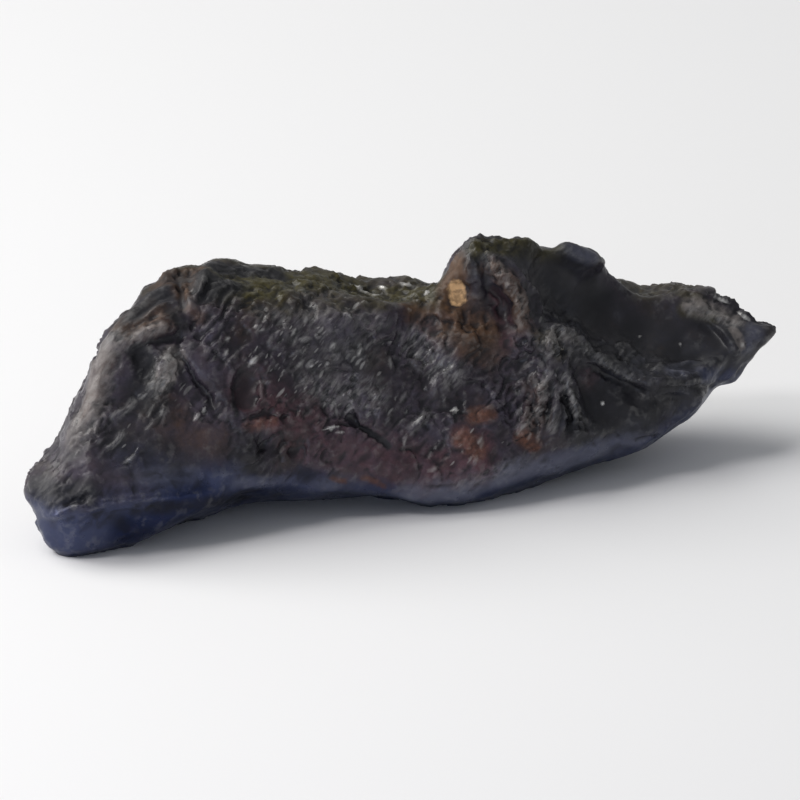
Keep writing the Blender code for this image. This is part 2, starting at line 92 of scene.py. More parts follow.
# Raised wrinkles: places, half width, height.
RIDGES = [
    # the spine below the crest, and the arms left of it
    (SPINE, 1.7, 1.3),
    ([(16.8, 39.4), (19, 36.8), (21, 33.8), (22.2, 31), (21.6, 28)], 1.4, 1.2),
    ([(10.4, 40), (11.9, 38.2), (12.6, 35.5), (12.2, 32.8)], 1.4, 0.8),
    ([(17.6, 36.6), (19.6, 34), (20.4, 31)], 0.8, 0.8),
    ([(19.5, 25.6), (21.8, 25.4)], 1.3, 1.1),
    # the knot that the spine ends in
    ([(28.2, 27.2), (26.4, 28), (24.5, 28.2), (23.7, 26.4), (24.1, 24.4), (24.5, 22.4)], 1.2, 1),
    ([(26.4, 26.8), (26.8, 24.8), (26.4, 22.6)], 1.1, 1.1),
    ([(24.8, 26.6), (25.6, 24.6), (25.2, 22.8)], 0.7, 0.7),
    ([(20.6, 27.4), (22.6, 27), (23.4, 25.6)], 0.9, 0.8),
    # the ridge along the foot of the hollow
    ([(28.2, 27.2), (29.9, 26), (32, 23.4), (34.2, 21.6), (36.8, 20.2), (40, 19.4)], 1.1, 0.6),
    ([(38.4, 19.6), (41.6, 19.9), (46.4, 20), (50.2, 19.8)], 1.1, 0.7),
    # the hollow's far rim
    ([(46.6, 30.7), (49.6, 29.6), (52.2, 27.5), (53.6, 25.4), (53.9, 23.5)], 1.1, 0.9),
    ([(45.4, 31.8), (48, 31.6), (50.4, 31)], 0.9, 0.8),
    ([(47.6, 30.6), (50.6, 30.2), (53.6, 29.4)], 0.7, 0.6),
    ([(49.2, 33.7), (51.4, 33.1), (53.6, 32), (55.2, 30.6)], 0.55, 1),
    ([(54.6, 30.9), (56, 29.8), (57.6, 29)], 0.55, 0.9),
    ([(30.2, 39.8), (32, 38.8)], 1.2, 0.9),
    ([(31.6, 39.2), (32.6, 38.7)], 0.8, 0.7),
    # the layered slab under the hollow
    ([(43, 22.4), (46.4, 22.8), (49.6, 22.2)], 0.7, 0.5),
    ([(40.4, 21), (44.6, 21.2), (48, 21)], 0.6, 0.5),
    ([(37.6, 11.4), (41, 12.2)], 1.1, 0.8),
    # the fan of strands under the knot
    ([(23.8, 20.8), (22.6, 18.4), (22.2, 15.7), (20.8, 13.8), (19.2, 12)], 1, 1.1),
    ([(22.9, 16.8), (22.9, 14.4), (22.6, 12)], 0.9, 0.9),
    ([(26.6, 20.2), (27.2, 17.4), (28.2, 15), (28.8, 13)], 1.1, 1.2),
    ([(21.3, 16.8), (20.3, 14.9), (19.2, 13)], 0.9, 0.9),
    ([(25, 18.6), (25, 15.2), (24.3, 12.3)], 1, 1.1),
    ([(25.8, 16.2), (26.1, 13.6), (25.8, 11)], 0.9, 0.9),
    # the blunt end: its brow, knob, rim and the edge of its slab
    ([(-43.5, 25.8), (-40.5, 27.7), (-37.6, 28.3), (-35, 29.1)], 1.7, 1.2),
    ([(-41, 28.6), (-38, 29.8), (-35.6, 30.6)], 0.8, 0.5),
    ([(-38.8, 18.8), (-38, 21.4), (-36.8, 23.8)], 0.7, 0.9),
    ([(-37.6, 18.6), (-36.8, 20.8), (-36, 22.8)], 0.6, 0.6),
    ([(-39.4, 21), (-38.6, 23), (-37.6, 24.8)], 0.6, 0.5),
    ([(-31, 37.8), (-31.2, 36), (-32, 33.9), (-33, 32.3)], 1.1, 0.5),
    ([(-36.6, 37), (-35.4, 37.4)], 0.9, 0.6),
    ([(-43.2, 30.5), (-39.6, 33.2), (-36, 35.1)], 0.9, 0.7),
    ([(-41.8, 28.9), (-39, 31.2), (-36.2, 32.4)], 0.7, 0.5),
    ([(-34.4, 35.4), (-33.6, 33), (-33.4, 31)], 0.7, 0.5),
    ([(-45.1, 27), (-47.2, 22.1), (-48.8, 16), (-51.2, 11.7)], 2.6, 0.8),
    ([(-56.4, -1.6), (-54, -1.3), (-51.4, -0.3), (-49, -0.3), (-46.8, 0.7)], 1, 0.9),
    ([(-46, 0.4), (-41, 1.2), (-36.8, 1.2), (-32, 2)], 0.9, 0.4),
    (LOW_NICK, 0.6, 0.5),
    (HIGH_NICK, 0.6, 0.5),
    # the middle
    ([(2.4, 28.2), (5.8, 25.8), (8.5, 22.7)], 1, 0.8),
    ([(6.2, 31.4), (6.8, 28.4)], 0.6, 0.4),
    ([(8.8, 31.4), (9.2, 27.8)], 0.6, 0.45),
    ([(11.2, 31.8), (11, 27.6)], 0.6, 0.4),
    ([(13, 30.6), (13.2, 26.4)], 0.6, 0.4),
    ([(1.8, 12), (4.2, 14.7)], 0.8, 0.6),
    ([(8.5, 12.3), (8.2, 14.7), (9.8, 15.4)], 0.6, 0.6),
    ([(9.4, 2.9), (12, 4), (15.2, 5), (17.3, 5.8)], 0.8, 0.4),
    ([(-23.9, 21.4), (-22.2, 19.4), (-21.8, 16.8)], 0.7, 0.7),
]

# Cracks and creases, with their depths.
CRACKS = [
    ([(-35.2, 24.2), (-34, 22.8), (-32.4, 19.6), (-30.2, 17.2), (-29.6, 14.6)], 0.8, 0.75),
    ([(-36, 29.4), (-35, 26.8), (-35.2, 24.2)], 0.8, 0.4),
    ([(-22.4, 21.8), (-21.4, 19.4), (-22, 16)], 0.8, 0.5),
    ([(-22.4, 21.8), (-24.6, 22.2), (-26.4, 20), (-26.9, 16.6)], 0.7, 0.4),
    ([(-30, 37.4), (-30.2, 35.8), (-31, 33.6), (-32, 31.6)], 1.1, 0.6),
    ([(-35.6, 36.8), (-34.9, 34), (-34.8, 31)], 0.8, 0.5),
    ([(-42.6, 29.7), (-39.4, 32.2), (-36, 33.8)], 0.7, 0.5),
    ([(-10.6, 15), (-7.7, 14.1), (-6.2, 12.5), (-4, 11), (-1.6, 9.1)], 0.85, 0.6),
    ([(-14.1, 21.3), (-10.4, 21.4), (-7.4, 21.4)], 0.7, 0.4),
    ([(-9.4, 20.3), (-6.4, 20.2)], 0.7, 0.3),
    ([(-25.8, 13.6), (-22.9, 14.2), (-20.6, 15.2)], 0.8, 0.7),
    ([(-17.9, 15.7), (-16.3, 15), (-16.8, 13.9)], 0.7, 0.5),
    ([(29.3, 22.9), (32, 21.2), (34.9, 19.6), (38.4, 18.2), (40.5, 17.8)], 0.9, 0.5),
    ([(41.4, 18.4), (45, 18.4), (48.6, 18.8), (50.4, 19)], 1.1, 0.9),
    ([(14.6, 35.6), (16, 32.4), (16.9, 28.8), (17.2, 25.4)], 2, 0.6),
    ([(27.4, 24.5), (28.2, 21.3), (29.6, 18.1), (30.3, 15.2)], 1.4, 0.6),
    (FAN_GAP, 0.7, 0.5),
    (FAR_FAN_GAP, 0.8, 0.6),
    ([(20.8, 18.4), (19.2, 15.6)], 0.8, 0.5),
    ([(3.4, 3), (6.4, 2.9), (8.8, 3.1)], 0.8, 0.4),
    ([(0.3, 9), (2.7, 8.9)], 0.7, 0.4),
    ([(3.7, 15.4), (7.8, 15.4)], 0.7, 0.4),
    ([(37.6, 10.4), (40, 10.9), (41.8, 11.5)], 0.9, 0.5),
    ([(-54.4, 0), (-51, 1.1), (-47.4, 1.7)], 1.1, 0.8),
    ([(-46, 2.1), (-40, 2.7), (-34, 3.4)], 1.3, 0.35),
    ([(-34.2, 30.4), (-32.4, 28.6), (-31.6, 26)], 1.1, 0.5),
    ([(-43, 24.2), (-39.8, 26), (-36.6, 26.6), (-34, 27)], 1.1, 0.6),
    ([(-41, 24.4), (-40.2, 22.6), (-40, 20.4)], 1.3, 0.8),
]

# Soft dents and swellings: places, radius, height.
SWELLS = [
    ([(-24.2, 20), (-24.8, 16.8)], 2.9, -1.3),
    ([(-37.2, 21.8)], 3.2, 0.6),
    ([(-41.2, 23.6), (-40.6, 21.4)], 2.2, -1),
    ([(27.4, 41), (30, 40)], 2, 0.4),
    ([(32, 38.7)], 1.6, 0.8),
    ([(58.8, 28.1)], 4, 0.45),
    ([(-59.2, 2.6)], 3, 0.5),
    ([(48, 25), (49.6, 22.8)], 3.6, 0.9),
    ([(9.2, 35), (8.4, 32.6)], 2, -0.6),
    ([(47.4, 17.4), (45, 14.8), (42.2, 12.4)], 2.6, 0.8),
    ([(-35.4, 35.8), (-33.6, 34.6)], 2.2, -0.4),
]

# Rust pits: place, radius, depth.
PITS = [
    ((-20.6, 14.7), 1.2, 0.7), ((-21.9, 9.9), 1.6, 0.5), ((-17.3, 8.6), 1.1, 0.5), ((6.3, 33.2), 1, 0.5),
]

# Flakes of bare metal that stand out one by one: place, length, width, lean in degrees, glint. Their
# brightness is a painted glint.
BRIGHT_FLAKES = [
    ((-23.4, 23), 2.8, 1.1, 42, 0.7), ((-24.8, 23.4), 0.9, 0.7, 40, 0.4), ((-27.5, 26.6), 1.4, 0.7, 30, 0.4),
    ((-27.7, 24.3), 1.8, 0.8, 62, 0.35), ((-22.9, 28.5), 1.6, 0.8, 20, 0.35),
    ((-21.6, 29.3), 1, 0.8, 30, 0.5), ((-10.7, 25.3), 2.2, 1.3, 58, 0.5), ((-6.4, 24.8), 2.8, 1, 80, 0.6),
    ((-8.5, 30.1), 2.4, 0.8, -36, 0.4), ((-6.6, 34.4), 4.2, 1, -35, 1), ((-4, 33.2), 3.2, 0.8, -42, 0.5),
    ((-2.7, 34.7), 2.4, 0.9, -50, 1), ((1, 35.2), 2.8, 0.9, -20, 1), ((4.2, 34.2), 2.4, 1, -65, 1),
    ((-32.4, 14), 2.2, 0.8, 55, 0.5), ((-31.2, 15.2), 1.6, 0.7, 70, 0.5), ((51.4, 33), 3.6, 0.8, -25, 1),
    ((55.2, 30.2), 3, 0.8, -38, 1), ((54.9, 25.6), 1.3, 0.9, 60, 0.5), ((-14.2, 22.2), 1.6, 0.7, 22, 0.5),
    ((32.4, 16.2), 0.9, 0.7, 50, 1), ((38.5, 27), 0.6, 0.4, 70, 0.5), ((45, 25.8), 0.8, 0.4, 85, 0.5),
    ((2.2, 27.2), 2.4, 0.8, 50, 0.5), ((4.8, 24.6), 1.8, 0.7, 60, 0.5), ((7.2, 21.4), 1.8, 0.7, 40, 0.4),
    ((-17, 27.6), 2, 0.7, 58, 0.6), ((-13.4, 27), 1.4, 0.6, 66, 0.4), ((-11.6, 22.6), 1.6, 0.6, 50, 0.4),
    ((-3.4, 21), 1.4, 0.6, 40, 0.4), ((-10.8, 12.4), 4.2, 0.4, 14, 0.8), ((-9.4, 11.6), 2.4, 0.4, 4, 0.8),
    ((3, 13.4), 3.6, 0.9, 47, 0.9), ((9, 15), 1.8, 0.7, 35, 0.9), ((22.6, 19), 1.6, 0.7, 70, 0.4),
    ((24.2, 26), 1.2, 0.8, 40, 0.7),
]

# Stretches sown with flakes: middle, spread across and up, how many, lean in degrees.
FLAKE_FIELDS = [
    ((-15, 24), 12, 6, 120, 48), ((-8, 16.5), 6, 2.4, 90, 60), ((-36, 22), 7, 7, 40, 55),
    ((-44, 14), 5, 9, 30, 62), ((8, 21), 6, 5, 24, 70), ((23, 20), 4, 9, 50, 75), ((8, 10), 9, 4, 36, 55),
    ((-5, 33), 16, 2, 40, -20), ((51, 29.4), 3, 1.6, 6, -20),
]
LOOSE_FLAKES = 170  # sown over the whole lump
LOOSE_LEAN = 50
TOO_CALM = 0.5  # calmer ground is sown with no flakes

# Where each tint lies: places, radius, strength.
TINTS = {
    # slate: neutral dark crust, and painted shade over the big hollow that the crest shadows
    "slate": [
        ([(26, 32), (34, 24), (44, 22), (52, 24)], 14, 1),
        ([(30, 13), (38, 15)], 9, 1),
        ([(12, 40), (20, 40), (28, 39)], 6, 0.9),
        ([(-27, 37), (-16, 36)], 5, 0.5),
        ([(-44, 28.6), (-38, 33.4)], 4.4, 0.9),
        ([(-44, 10), (-36, 6), (-24, 6)], 7, 0.6),
        ([(-12, 28), (-4, 22)], 6, 0.5),
    ],
    # navy: painted shade along the lower edge and under the ledge, deep blue like the shaded underside
    "navy": [
        ([(-43, -3.6), (-36, -1.2), (-32, -0.2), (-27, 0.8), (-22, 1.4)], 4.8, 1.2),
        ([(-20, 0.8), (-8, 1.2), (1, 0.6)], 1.7, 1),
        ([(14, 1.8), (22, 4.2), (28, 5.6)], 1.5, 0.7),
    ],
    # steel: a painted blue reflection of the floor and sky on the lower facets
    "steel": [
        ([(-56, -4), (-48, -4.6), (-38, -2), (-30, 0.6)], 9, 1),
        ([(-34, 3.4), (-24, 2.6), (-13, 1.8), (-2, 1.2)], 3.8, 0.95),
        ([(-44, 7), (-34, 5.6)], 4, 0.35),
        ([(8, 1.6), (20, 4), (34, 8.8)], 3, 0.8),
        ([(49, 20.6), (53.4, 20.6)], 2.2, 0.6),
    ],
    # bloom: a painted pale, bluish reflection along the lower edge and on a few rims
    "bloom": [
        ([(-26, 3), (-11, 3)], 2.1, 0.56),
        ([(-41, 4.8), (-33, 4.6)], 2.2, 0.45),
        ([(2, 1.6), (14, 3.8), (20, 5.6)], 3.4, 0.9),
        ([(20, 5.2), (26, 6.8)], 3.4, 0.8),
        ([(26, 6.8), (34, 9.2), (38, 11.2)], 4, 0.9),
        ([(28, 40.6), (31, 39.8)], 2.2, 0.7),
        ([(57, 28), (56, 25.4)], 2.4, 0.6),
        ([(44, 21.4), (46.6, 21.8)], 2.4, 0.7),
    ],
    # olive: an olive tint, painted as the reflection that the top shows
    "olive": [
        ([(-25.6, 34), (-19.6, 33.6)], 1.9, 1.1),
        ([(-29, 36), (-20, 35.8), (-8, 34.8), (4, 34.2)], 6.4, 1),
        ([(22.6, 27), (26, 25)], 3, 0.5),
        ([(12.4, 41.6), (18, 41.6), (24, 40.4)], 3, 0.8),
        ([(40, 34), (48, 32.6)], 3, 0.6),
        ([(46, 31.4), (50, 30.6)], 2.4, 0.7),
    ],
    "brown": [
        ([(8.8, 38), (8.2, 35), (8.6, 31.6)], 3.6, 1),
        ([(2, 31), (5.4, 30)], 3.6, 0.6),
        ([(9, 29), (13, 27)], 6.5, 0.8),
        ([(15, 38), (19, 34), (19.6, 29)], 3, 0.6),
        ([(22, 19), (21, 13)], 3, 0.4),
        ([(-37.4, 36), (-33, 36.8), (-33.8, 34.4)], 3.8, 0.85),
        ([(-33.6, 31.4), (-32, 29.8)], 1.8, 0.5),
        ([(-47, 24), (-48.6, 19), (-50, 15)], 2.6, 0.5),
        ([(-45, 29), (-41, 32.4)], 3, 0.55),
        ([(-42.4, 28), (-37.4, 30)], 3.6, 0.6),
        ([(-38, 15), (-30, 10)], 5, 0.4),
    ],
    "rust": [
        ([(10, 10.6), (13, 9.6)], 3.4, 0.7),
        ([(6, 6.4), (13, 6)], 5, 0.6),
        ([(-20, 15.6), (-20.4, 13)], 2.2, 0.7),
        ([(-24.2, 19.6), (-24.9, 16.2)], 2.7, 0.72),
        ([(-24.5, 18.4), (-12, 10), (4, 6)], 6.5, 0.5),
        ([(15.4, 34), (16.8, 30), (17.2, 26)], 2, 0.7),
        ([(30, 20)], 3, 0.4),
    ],
    "orange": [
        ([(14.2, 14.6), (11.8, 14.2)], 2, 0.8),
        ([(10, 10.6), (12.2, 9)], 2.6, 0.7),
        ([(19.4, 10.8), (21.2, 9.8)], 2, 0.8),
        ([(-24, 12.6), (-20.4, 13.4)], 1.7, 0.5),
        ([(-10.8, 4.3), (-8.8, 3.9)], 0.8, 0.66),
        ([(-5.8, 4.4), (-4, 3.9), (-2.6, 3)], 0.9, 0.66),
    ],
    # ash: painted highlight on the left rim, the brow, the knob and the hollow's far rim
    "ash": [
        ([(-46.6, 26), (-48, 21.6), (-49.6, 15.5), (-51.8, 11.5)], 4.8, 0.57),
        ([(-44, 26.6), (-38, 28.8)], 2.2, 0.5),
        ([(-38, 19.6), (-36, 23.6)], 2.7, 1.05),
        ([(46.6, 32), (50, 31.4), (53.6, 29.6)], 2.5, 0.72),
        ([(53.6, 28), (54.8, 25.6)], 1.4, 0.8),
        ([(24.6, 27), (28, 26.8)], 2.2, 0.5),
    ],
    "ochre": [([(8.9, 34.8), (9.2, 33.2)], 1.9, 1)],
    # worn: rubbed metal, and painted highlight on the left rim, the knob, the spine, the knot and the strands
    "worn": [
        ([(-45.8, 27), (-47.2, 22.1), (-49.2, 15.5), (-51, 12.5)], 3, 0.4),
        ([(-38.4, 19), (-37.2, 23.4)], 2.4, 0.9),
        (LOW_NICK, 0.9, 0.8),
        (HIGH_NICK, 0.9, 0.7),
        ([(-43.5, 25.8), (-37.6, 28.3)], 1.6, 0.45),
        ([(-18, 29), (-12, 26), (-6, 25)], 4.5, 0.25),
        ([(-22, 29.8), (-12, 30), (-3, 29.2)], 2.8, 0.4),
        ([(-14, 19), (-4, 18)], 3.4, 0.6),
        (SPINE, 1.6, 0.6),
        ([(28.2, 27.2), (24.5, 28.2), (24.1, 24.4)], 2.2, 0.7),
        ([(28.2, 27), (32, 23.4), (36.8, 20.2)], 1.2, 0.5),
        ([(23.8, 20.8), (22.2, 15.7), (19.2, 12)], 1.2, 0.9),
        ([(26.6, 20.2), (28.2, 15)], 1.4, 1),
        ([(25, 18.6), (24.3, 12.3)], 1.2, 0.8),
        ([(1.8, 12), (4.2, 14.7)], 1.2, 0.6),
        ([(47, 31.4), (50.4, 30.6), (54, 29)], 1.6, 0.6),
        ([(2, 26), (8, 21)], 3.4, 0.75),
        ([(9.4, 3.2), (17.3, 5.8)], 1.6, 0.4),
        ([(-57.4, 0.4), (-54, 7)], 2.4, 0.25),
    ],
    # soot: dark crust, and painted shade on the top-left, in the hollow, between the strands and in the dents
    "soot": [
        ([(-30.6, 37), (-30.8, 34), (-27, 35.6)], 3.6, 1),
        ([(-29, 38), (-25, 37.4), (-20, 36.8)], 3, 1.1),
        ([(-43, 30.6), (-38.6, 34.4)], 3.8, 0.8),
        ([(-41, 17), (-40, 12)], 3.4, 0.45),
        ([(-37, 36), (-33.4, 36.4)], 3.2, 0.72),
        ([(-36.4, 30.8), (-34.4, 28.6)], 2, 0.8),
        ([(-41, 18.4), (-39, 15)], 4, 0.8),
        ([(-58, 3.4), (-55, 1.6), (-50, 2.2)], 3.4, 0.85),
        ([(-42, -0.8), (-36, -0.2), (-30.4, 0.4), (-25, 1.2)], 1.9, 0.62),
        ([(-52.6, 8)], 3.4, 0.5),
        ([(-6.6, 12.8), (-4.2, 11.2), (-2, 9.6)], 0.9, 1.1),
        ([(33, 15.6), (40, 14.4)], 5.5, 0.8),
        (FAN_GAP, 0.8, 0.5),
        (FAR_FAN_GAP, 0.9, 0.5),
        ([(9, 26), (14, 25)], 3, 0.4),
        ([(-25.4, 21.4), (-26.6, 18), (-26, 14.6)], 0.9, 0.8),
        ([(-24, 19.6), (-24.6, 17)], 2.2, 0.25),
        ([(20, 40.6), (26, 39.6)], 3.4, 0.6),
        ([(-36, 24.4), (-34.6, 20)], 1.6, 0.5),
        ([(-41.4, 24), (-40.2, 21.4)], 2.8, 1.3),
        ([(-43, 24.4), (-36.6, 26.6)], 1.2, 0.6),
        ([(24, 36), (30, 34), (36, 31), (46, 26.4)], 9, 0.32),
        ([(16.2, 32), (17, 27)], 1.6, 0.4),
    ],
}

# Ground that stays knobbly: small lumps crowd there.
LIVELY = [
    ([(14.1, 39.8), (16.2, 37), (18.6, 34.6), (20.4, 31), (19.6, 27.6)], 2.8, 1),
    ([(19.5, 26), (24, 26.6), (28.4, 26.6)], 3.4, 1),
    ([(24.4, 23), (23.4, 19), (21.4, 14)], 2.8, 1),
    ([(24.4, 22), (26, 17), (28.4, 13.4)], 2.4, 0.9),
    ([(28.4, 26.6), (32.4, 23.2), (36.8, 20.4)], 1.6, 0.8),
    ([(-38.6, 18.8), (-37.2, 23.6)], 2.8, 0.8),
    ([(-43.5, 25.8), (-37.6, 28.3), (-33, 30)], 2, 0.6),
    ([(-22, 16), (-17, 14.6)], 2.6, 0.8),
    ([(9, 4.2), (17, 6)], 2, 0.6),
    ([(1.8, 12.6), (9, 15)], 2.4, 0.6),
    ([(47, 31.4), (52, 30.4)], 1.9, 0.45),
    ([(-36, 34.6), (-22, 34.4), (-6, 34), (4, 33.4)], 2.6, 0.5),
    ([(-36, 36.6), (-29, 37.8), (-22, 37)], 2.4, 0.7),
]

# Ground that flight melted smooth: less relief and fewer flakes there.
CALM = [
    ([(25, 37), (29, 34), (35, 31), (44, 27), (50, 25)], 8.5, 1),
    ([(-54, -4.6), (-48, -5), (-38, -2), (-30, 0.8)], 5, 1),
    ([(-24.2, 19.6), (-24.9, 16.2)], 3.1, 1),
    ([(32, 16.4), (36, 15), (41, 13)], 5, 0.9),
    ([(46, 15.6), (49, 17)], 3, 0.7),
    ([(-9, 9.6), (0, 6.4)], 3.6, 0.6),
    ([(44, 22), (48, 22.8), (53, 21.6)], 2.8, 0.9),
    ([(55, 28.6), (59, 28)], 3, 1),
    ([(55, 26), (54, 22)], 2.4, 0.8),
    ([(-46, 26.6), (-48.8, 20.6), (-51, 14.6), (-54, 9), (-57.4, 4.4)], 4.2, 0.65),
    ([(-46.4, 27.4), (-42.6, 31), (-38.6, 34)], 3.6, 0.9),
    ([(-57, -1.6), (-55, -5)], 5, 1),
    ([(-44, 18), (-42, 10), (-30, 8.6)], 4.8, 0.7),
    ([(-32, 23.6), (-30, 19.6)], 2.4, 0.6),
    ([(8.6, 37), (8.6, 34)], 2.6, 0.8),
    ([(20, 4.6), (34, 9.4)], 3.4, 0.8),
    ([(-50, 5), (-30, 4.6), (-12, 3.4), (0, 2.4), (14, 2.6)], 4.5, 0.7),
]

# Patches strewn over the far side: what of, how many, largest strength.
FAR_PATCHES = [("calm", 16, 1), ("soot", 10, 0.9), ("slate", 6, 1), ("rust", 9, 0.6), ("brown", 8, 0.8),
               ("olive", 4, 0.7), ("worn", 8, 0.6)]
FAR_FACING = -0.3  # what faces the eye less than this is far
FAR_RADII = (4 * MM, 9 * MM)

# The tints that the material lays over each other, in this order: name, size of the blotches, crispness.
# Several of them are painted light: shade, reflections and highlights.
COVERS = [("slate", 7, 0.8), ("steel", 6, 0.8), ("bloom", 8, 0.6), ("navy", 4, 0.7), ("olive", 3, 0.9),
          ("brown", 3, 0.8), ("rust", 2.4, 0.9), ("orange", 1.3, 0.8), ("ash", 1.6, 1.3), ("soot", 5, 0.8)]
SLIVERS = [(3, 0.8), (1.5, 0.45)]  # length and width of the slivers of painted glint, which are only colour

# What the relief tree takes as inputs of the same names. Each is a size in CrustSizes.
RELIEF_SIZES = ["facet_size", "facet_height", "wrinkle_length", "wrinkle_width", "wrinkle_height",
                "scale_length", "scale_width", "scale_height", "knob_size", "knob_height", "grain_size",
                "grain_height"]

# How strokes shape the crust, and how calm the ground is.
MERGE = 0.01 * MM
RIDGE_SHARPNESS = 1.3  # 1 has straight sides, and more has a thinner crest
STROKE_ENDS = 0.3  # the share of a stroke's height that is left at its ends
STROKE_REACH = 1.5  # how far the ground beside a stroke is calm, in half widths
STROKE_CALM = 0.25
UNDERSIDE_CALM = 0.9
CALM_SMOOTHS = 0.92  # the share of its relief that the calmest ground goes without
CALM_SPARES = 0.8  # the share of its slivers that the calmest ground goes without
SOLE_HEIGHT = 0.35 * MM  # below it, the underside that the lump stands on stays flat
BLUE_REFLECTION_HEIGHT = 9 * MM  # up to it, whatever faces down has the painted blue reflection
OLIVE_REFLECTION = 0.55  # how far the painted olive reflection covers whatever faces up
CREST_ROUNDS = 7  # how far off a point's surroundings reach, in edges
CREST_HEIGHT = 0.16 * MM  # what stands out from its surroundings by this much is all crest
BROAD_ROUNDS = 40  # how far off the ground still counts for which way it faces, in edges
CELL_STEP = 0.35  # how far a cell stands up or down, against how far it tilts
CHIP_SOFTNESS = 0.18
SCALE_SOFTNESS = 0.12
HALF = (0.5, 0.5, 0.5)  # a noise's middle value, in three directions

# Flakes, in millimetres. Each pair is the least, and how much more a flake may have.
SOWN_LENGTH = (1.1, 2.3)
SOWN_SLIMNESS = (0.2, 0.22)  # width over length
SOWN_HEIGHT = (0.10, 0.24)
SOWN_GLINT = (0.05, 0.27)
NARROWEST = 0.35
SOWN_TURN = 22  # how far the lean strays, in degrees
SOWN_SPREAD = 0.6  # how far a field's flakes stray, as a share of its spread
BRIGHT_HEIGHT = 0.45
FLAKE_OUTLINE = 1.4  # 1 is a diamond and 2 an oval
FLAKE_RIM = 2.2  # how steeply a flake rises from its rim
FLAKE_TILT = 0.4  # the share of a flake's height by which its high end stands above its middle
GLINT_RIM = 1.5  # how fast its painted glint sets in from its rim
FLAKY_ALL_OVER = 0.05
FULLY_FLAKY = 90  # flakes in a field that is all slivers

# The lights: name, way from the lump (rightward, towards the eye, up), size, colour.
LIGHTS = [
    ("key", (-0.8, -0.25, 1), 0.9, (1, 0.99, 0.96)),
    ("fill", (-0.8, 0.5, 0.9), 0.22, (1, 0.97, 0.97)),
    ("low", (-0.3, 1, 0.12), 0.4, (0.62, 0.74, 1)),
    ("side", (-1, -0.3, 0.25), 0.5, (1, 0.98, 0.96)),
]
LIGHT_DISTANCE = 0.9
SURROUND_COLOUR = (0.96, 0.98, 1, 1)
FLOOR_REACH = 3.0
FLOOR_ROUGHNESS = 0.75
SENSOR_WIDTH = 36.0
FARTHEST_SEEN = 20.0


def length(name, description, millimetres):
    return FloatProperty(name=name, description=description, default=millimetres * MM, subtype="DISTANCE",
                         precision=6)


def tint(name, description, default):
    return FloatVectorProperty(name=name, description=description, default=default, subtype="COLOR",
                               min=0, max=1)


def power(name, description, default):
    return FloatProperty(name=name, description=description, default=default, subtype="POWER")


class CrustSizes(bpy.types.PropertyGroup):
    """How fine and how deep the crust's relief is."""

    voxel: length("Voxel", "Side of the cells it is sculpted in", 0.30)
    triangles: IntProperty(name="Triangles", description="Triangles that the crust keeps", default=196000)
    facet_size: length("Facet size", "Width of the small facets", 4.4)
    facet_height: length("Facet height", "Relief of the small facets", 1.1)
    wrinkle_length: length("Wrinkle length", "Length of the leaning wrinkles", 4.2)
    wrinkle_width: length("Wrinkle width", "Width of the leaning wrinkles", 1.9)
    wrinkle_height: length("Wrinkle height", "Height of the leaning wrinkles", 0.55)
    scale_length: length("Scale length", "Length of the crust's scales", 2.6)
    scale_width: length("Scale width", "Width of the crust's scales", 0.9)
    scale_height: length("Scale height", "Relief of the crust's scales", 0.26)
    knob_size: length("Knob size", "Width of the small lumps on knobbly ground", 1.5)
    knob_height: length("Knob height", "Relief of the small lumps on knobbly ground", 1.5)
    grain_size: length("Grain size", "Width of the finest lumps", 1.1)
    grain_height: length("Grain height", "Height of the finest lumps", 0.10)
    seed: IntProperty(name="Seed", description="Picks another crust of the same kind", default=7)


class CrustColours(bpy.types.PropertyGroup):
    """The crust's tints."""

    crust: tint("Crust", "Purple-grey fusion crust", (0.032, 0.025, 0.035))
    # Dark crust, also painted as shade where the top-left, the hollow, gaps and dents lie in shadow
    soot: tint("Soot", "Dark crust in the crannies", (0.013, 0.013, 0.016))
    # Bare metal, and the brightness of the painted glints and highlights
    metal: tint("Bare metal", "Flakes and rubbed edges", (0.62, 0.61, 0.59))
    rust: tint("Rust", "Fresh rust", (0.082, 0.035, 0.042))
    orange: tint("Orange", "Spots of loose rust", (0.112, 0.048, 0.031))
    brown: tint("Brown", "Old rust", (0.080, 0.042, 0.022))
    ochre: tint("Ochre", "The pale mineral spot", (0.68, 0.42, 0.21))
    # Painted olive reflection on the top, and an olive tint in patches
    olive: tint("Olive", "Film on the top", (0.042, 0.036, 0.011))
    # Neutral dark crust, also painted as shade over the hollow
    slate: tint("Slate", "Neutral crust towards the nose", (0.020, 0.020, 0.023))
    # Painted pale reflection along the lower edge
    bloom: tint("Bloom", "Pale haze along the lower edge", (0.098, 0.103, 0.142))
    # Painted highlight on rims, the brow and the knob, where they would catch the light
    ash: tint("Ash", "Pale, warm crust on rims that wear", (0.146, 0.130, 0.124))
    # Painted blue shade along the lower edge
    navy: tint("Navy", "Deep blue along the lower edge", (0.012, 0.019, 0.058))
    # Painted blue reflection on what faces down, low down
    steel: tint("Steel", "Blue sheen low down", (0.040, 0.050, 0.104))


class StageSettings(bpy.types.PropertyGroup):
    """The floor, the lights and the camera."""

    floor: tint("Floor", "Colour of the floor", (0.86, 0.86, 0.87))
    surround: FloatProperty(name="Surround", description="Strength of the light from all round", default=0.32)
    key_power: power("Key light", "Power of the big light behind, high on the left", 6.4)
    fill_power: power("Fill light", "Power of the light high in front, on the left", 2.4)
    low_power: power("Low light", "Power of the cool light low in front", 0.9)
    side_power: power("Side light", "Power of the light on the blunt end", 2.4)
    lens: FloatProperty(name="Lens", description="Focal length in millimetres on a 36 mm sensor",
                        default=1500.0)
    picture_width: length("Picture width", "What the picture spans at the lump", 128)
    picture_middle: FloatProperty(name="Picture middle", precision=3, default=16.8,
                                  description="How high the picture's middle is, as seen, in millimetres")


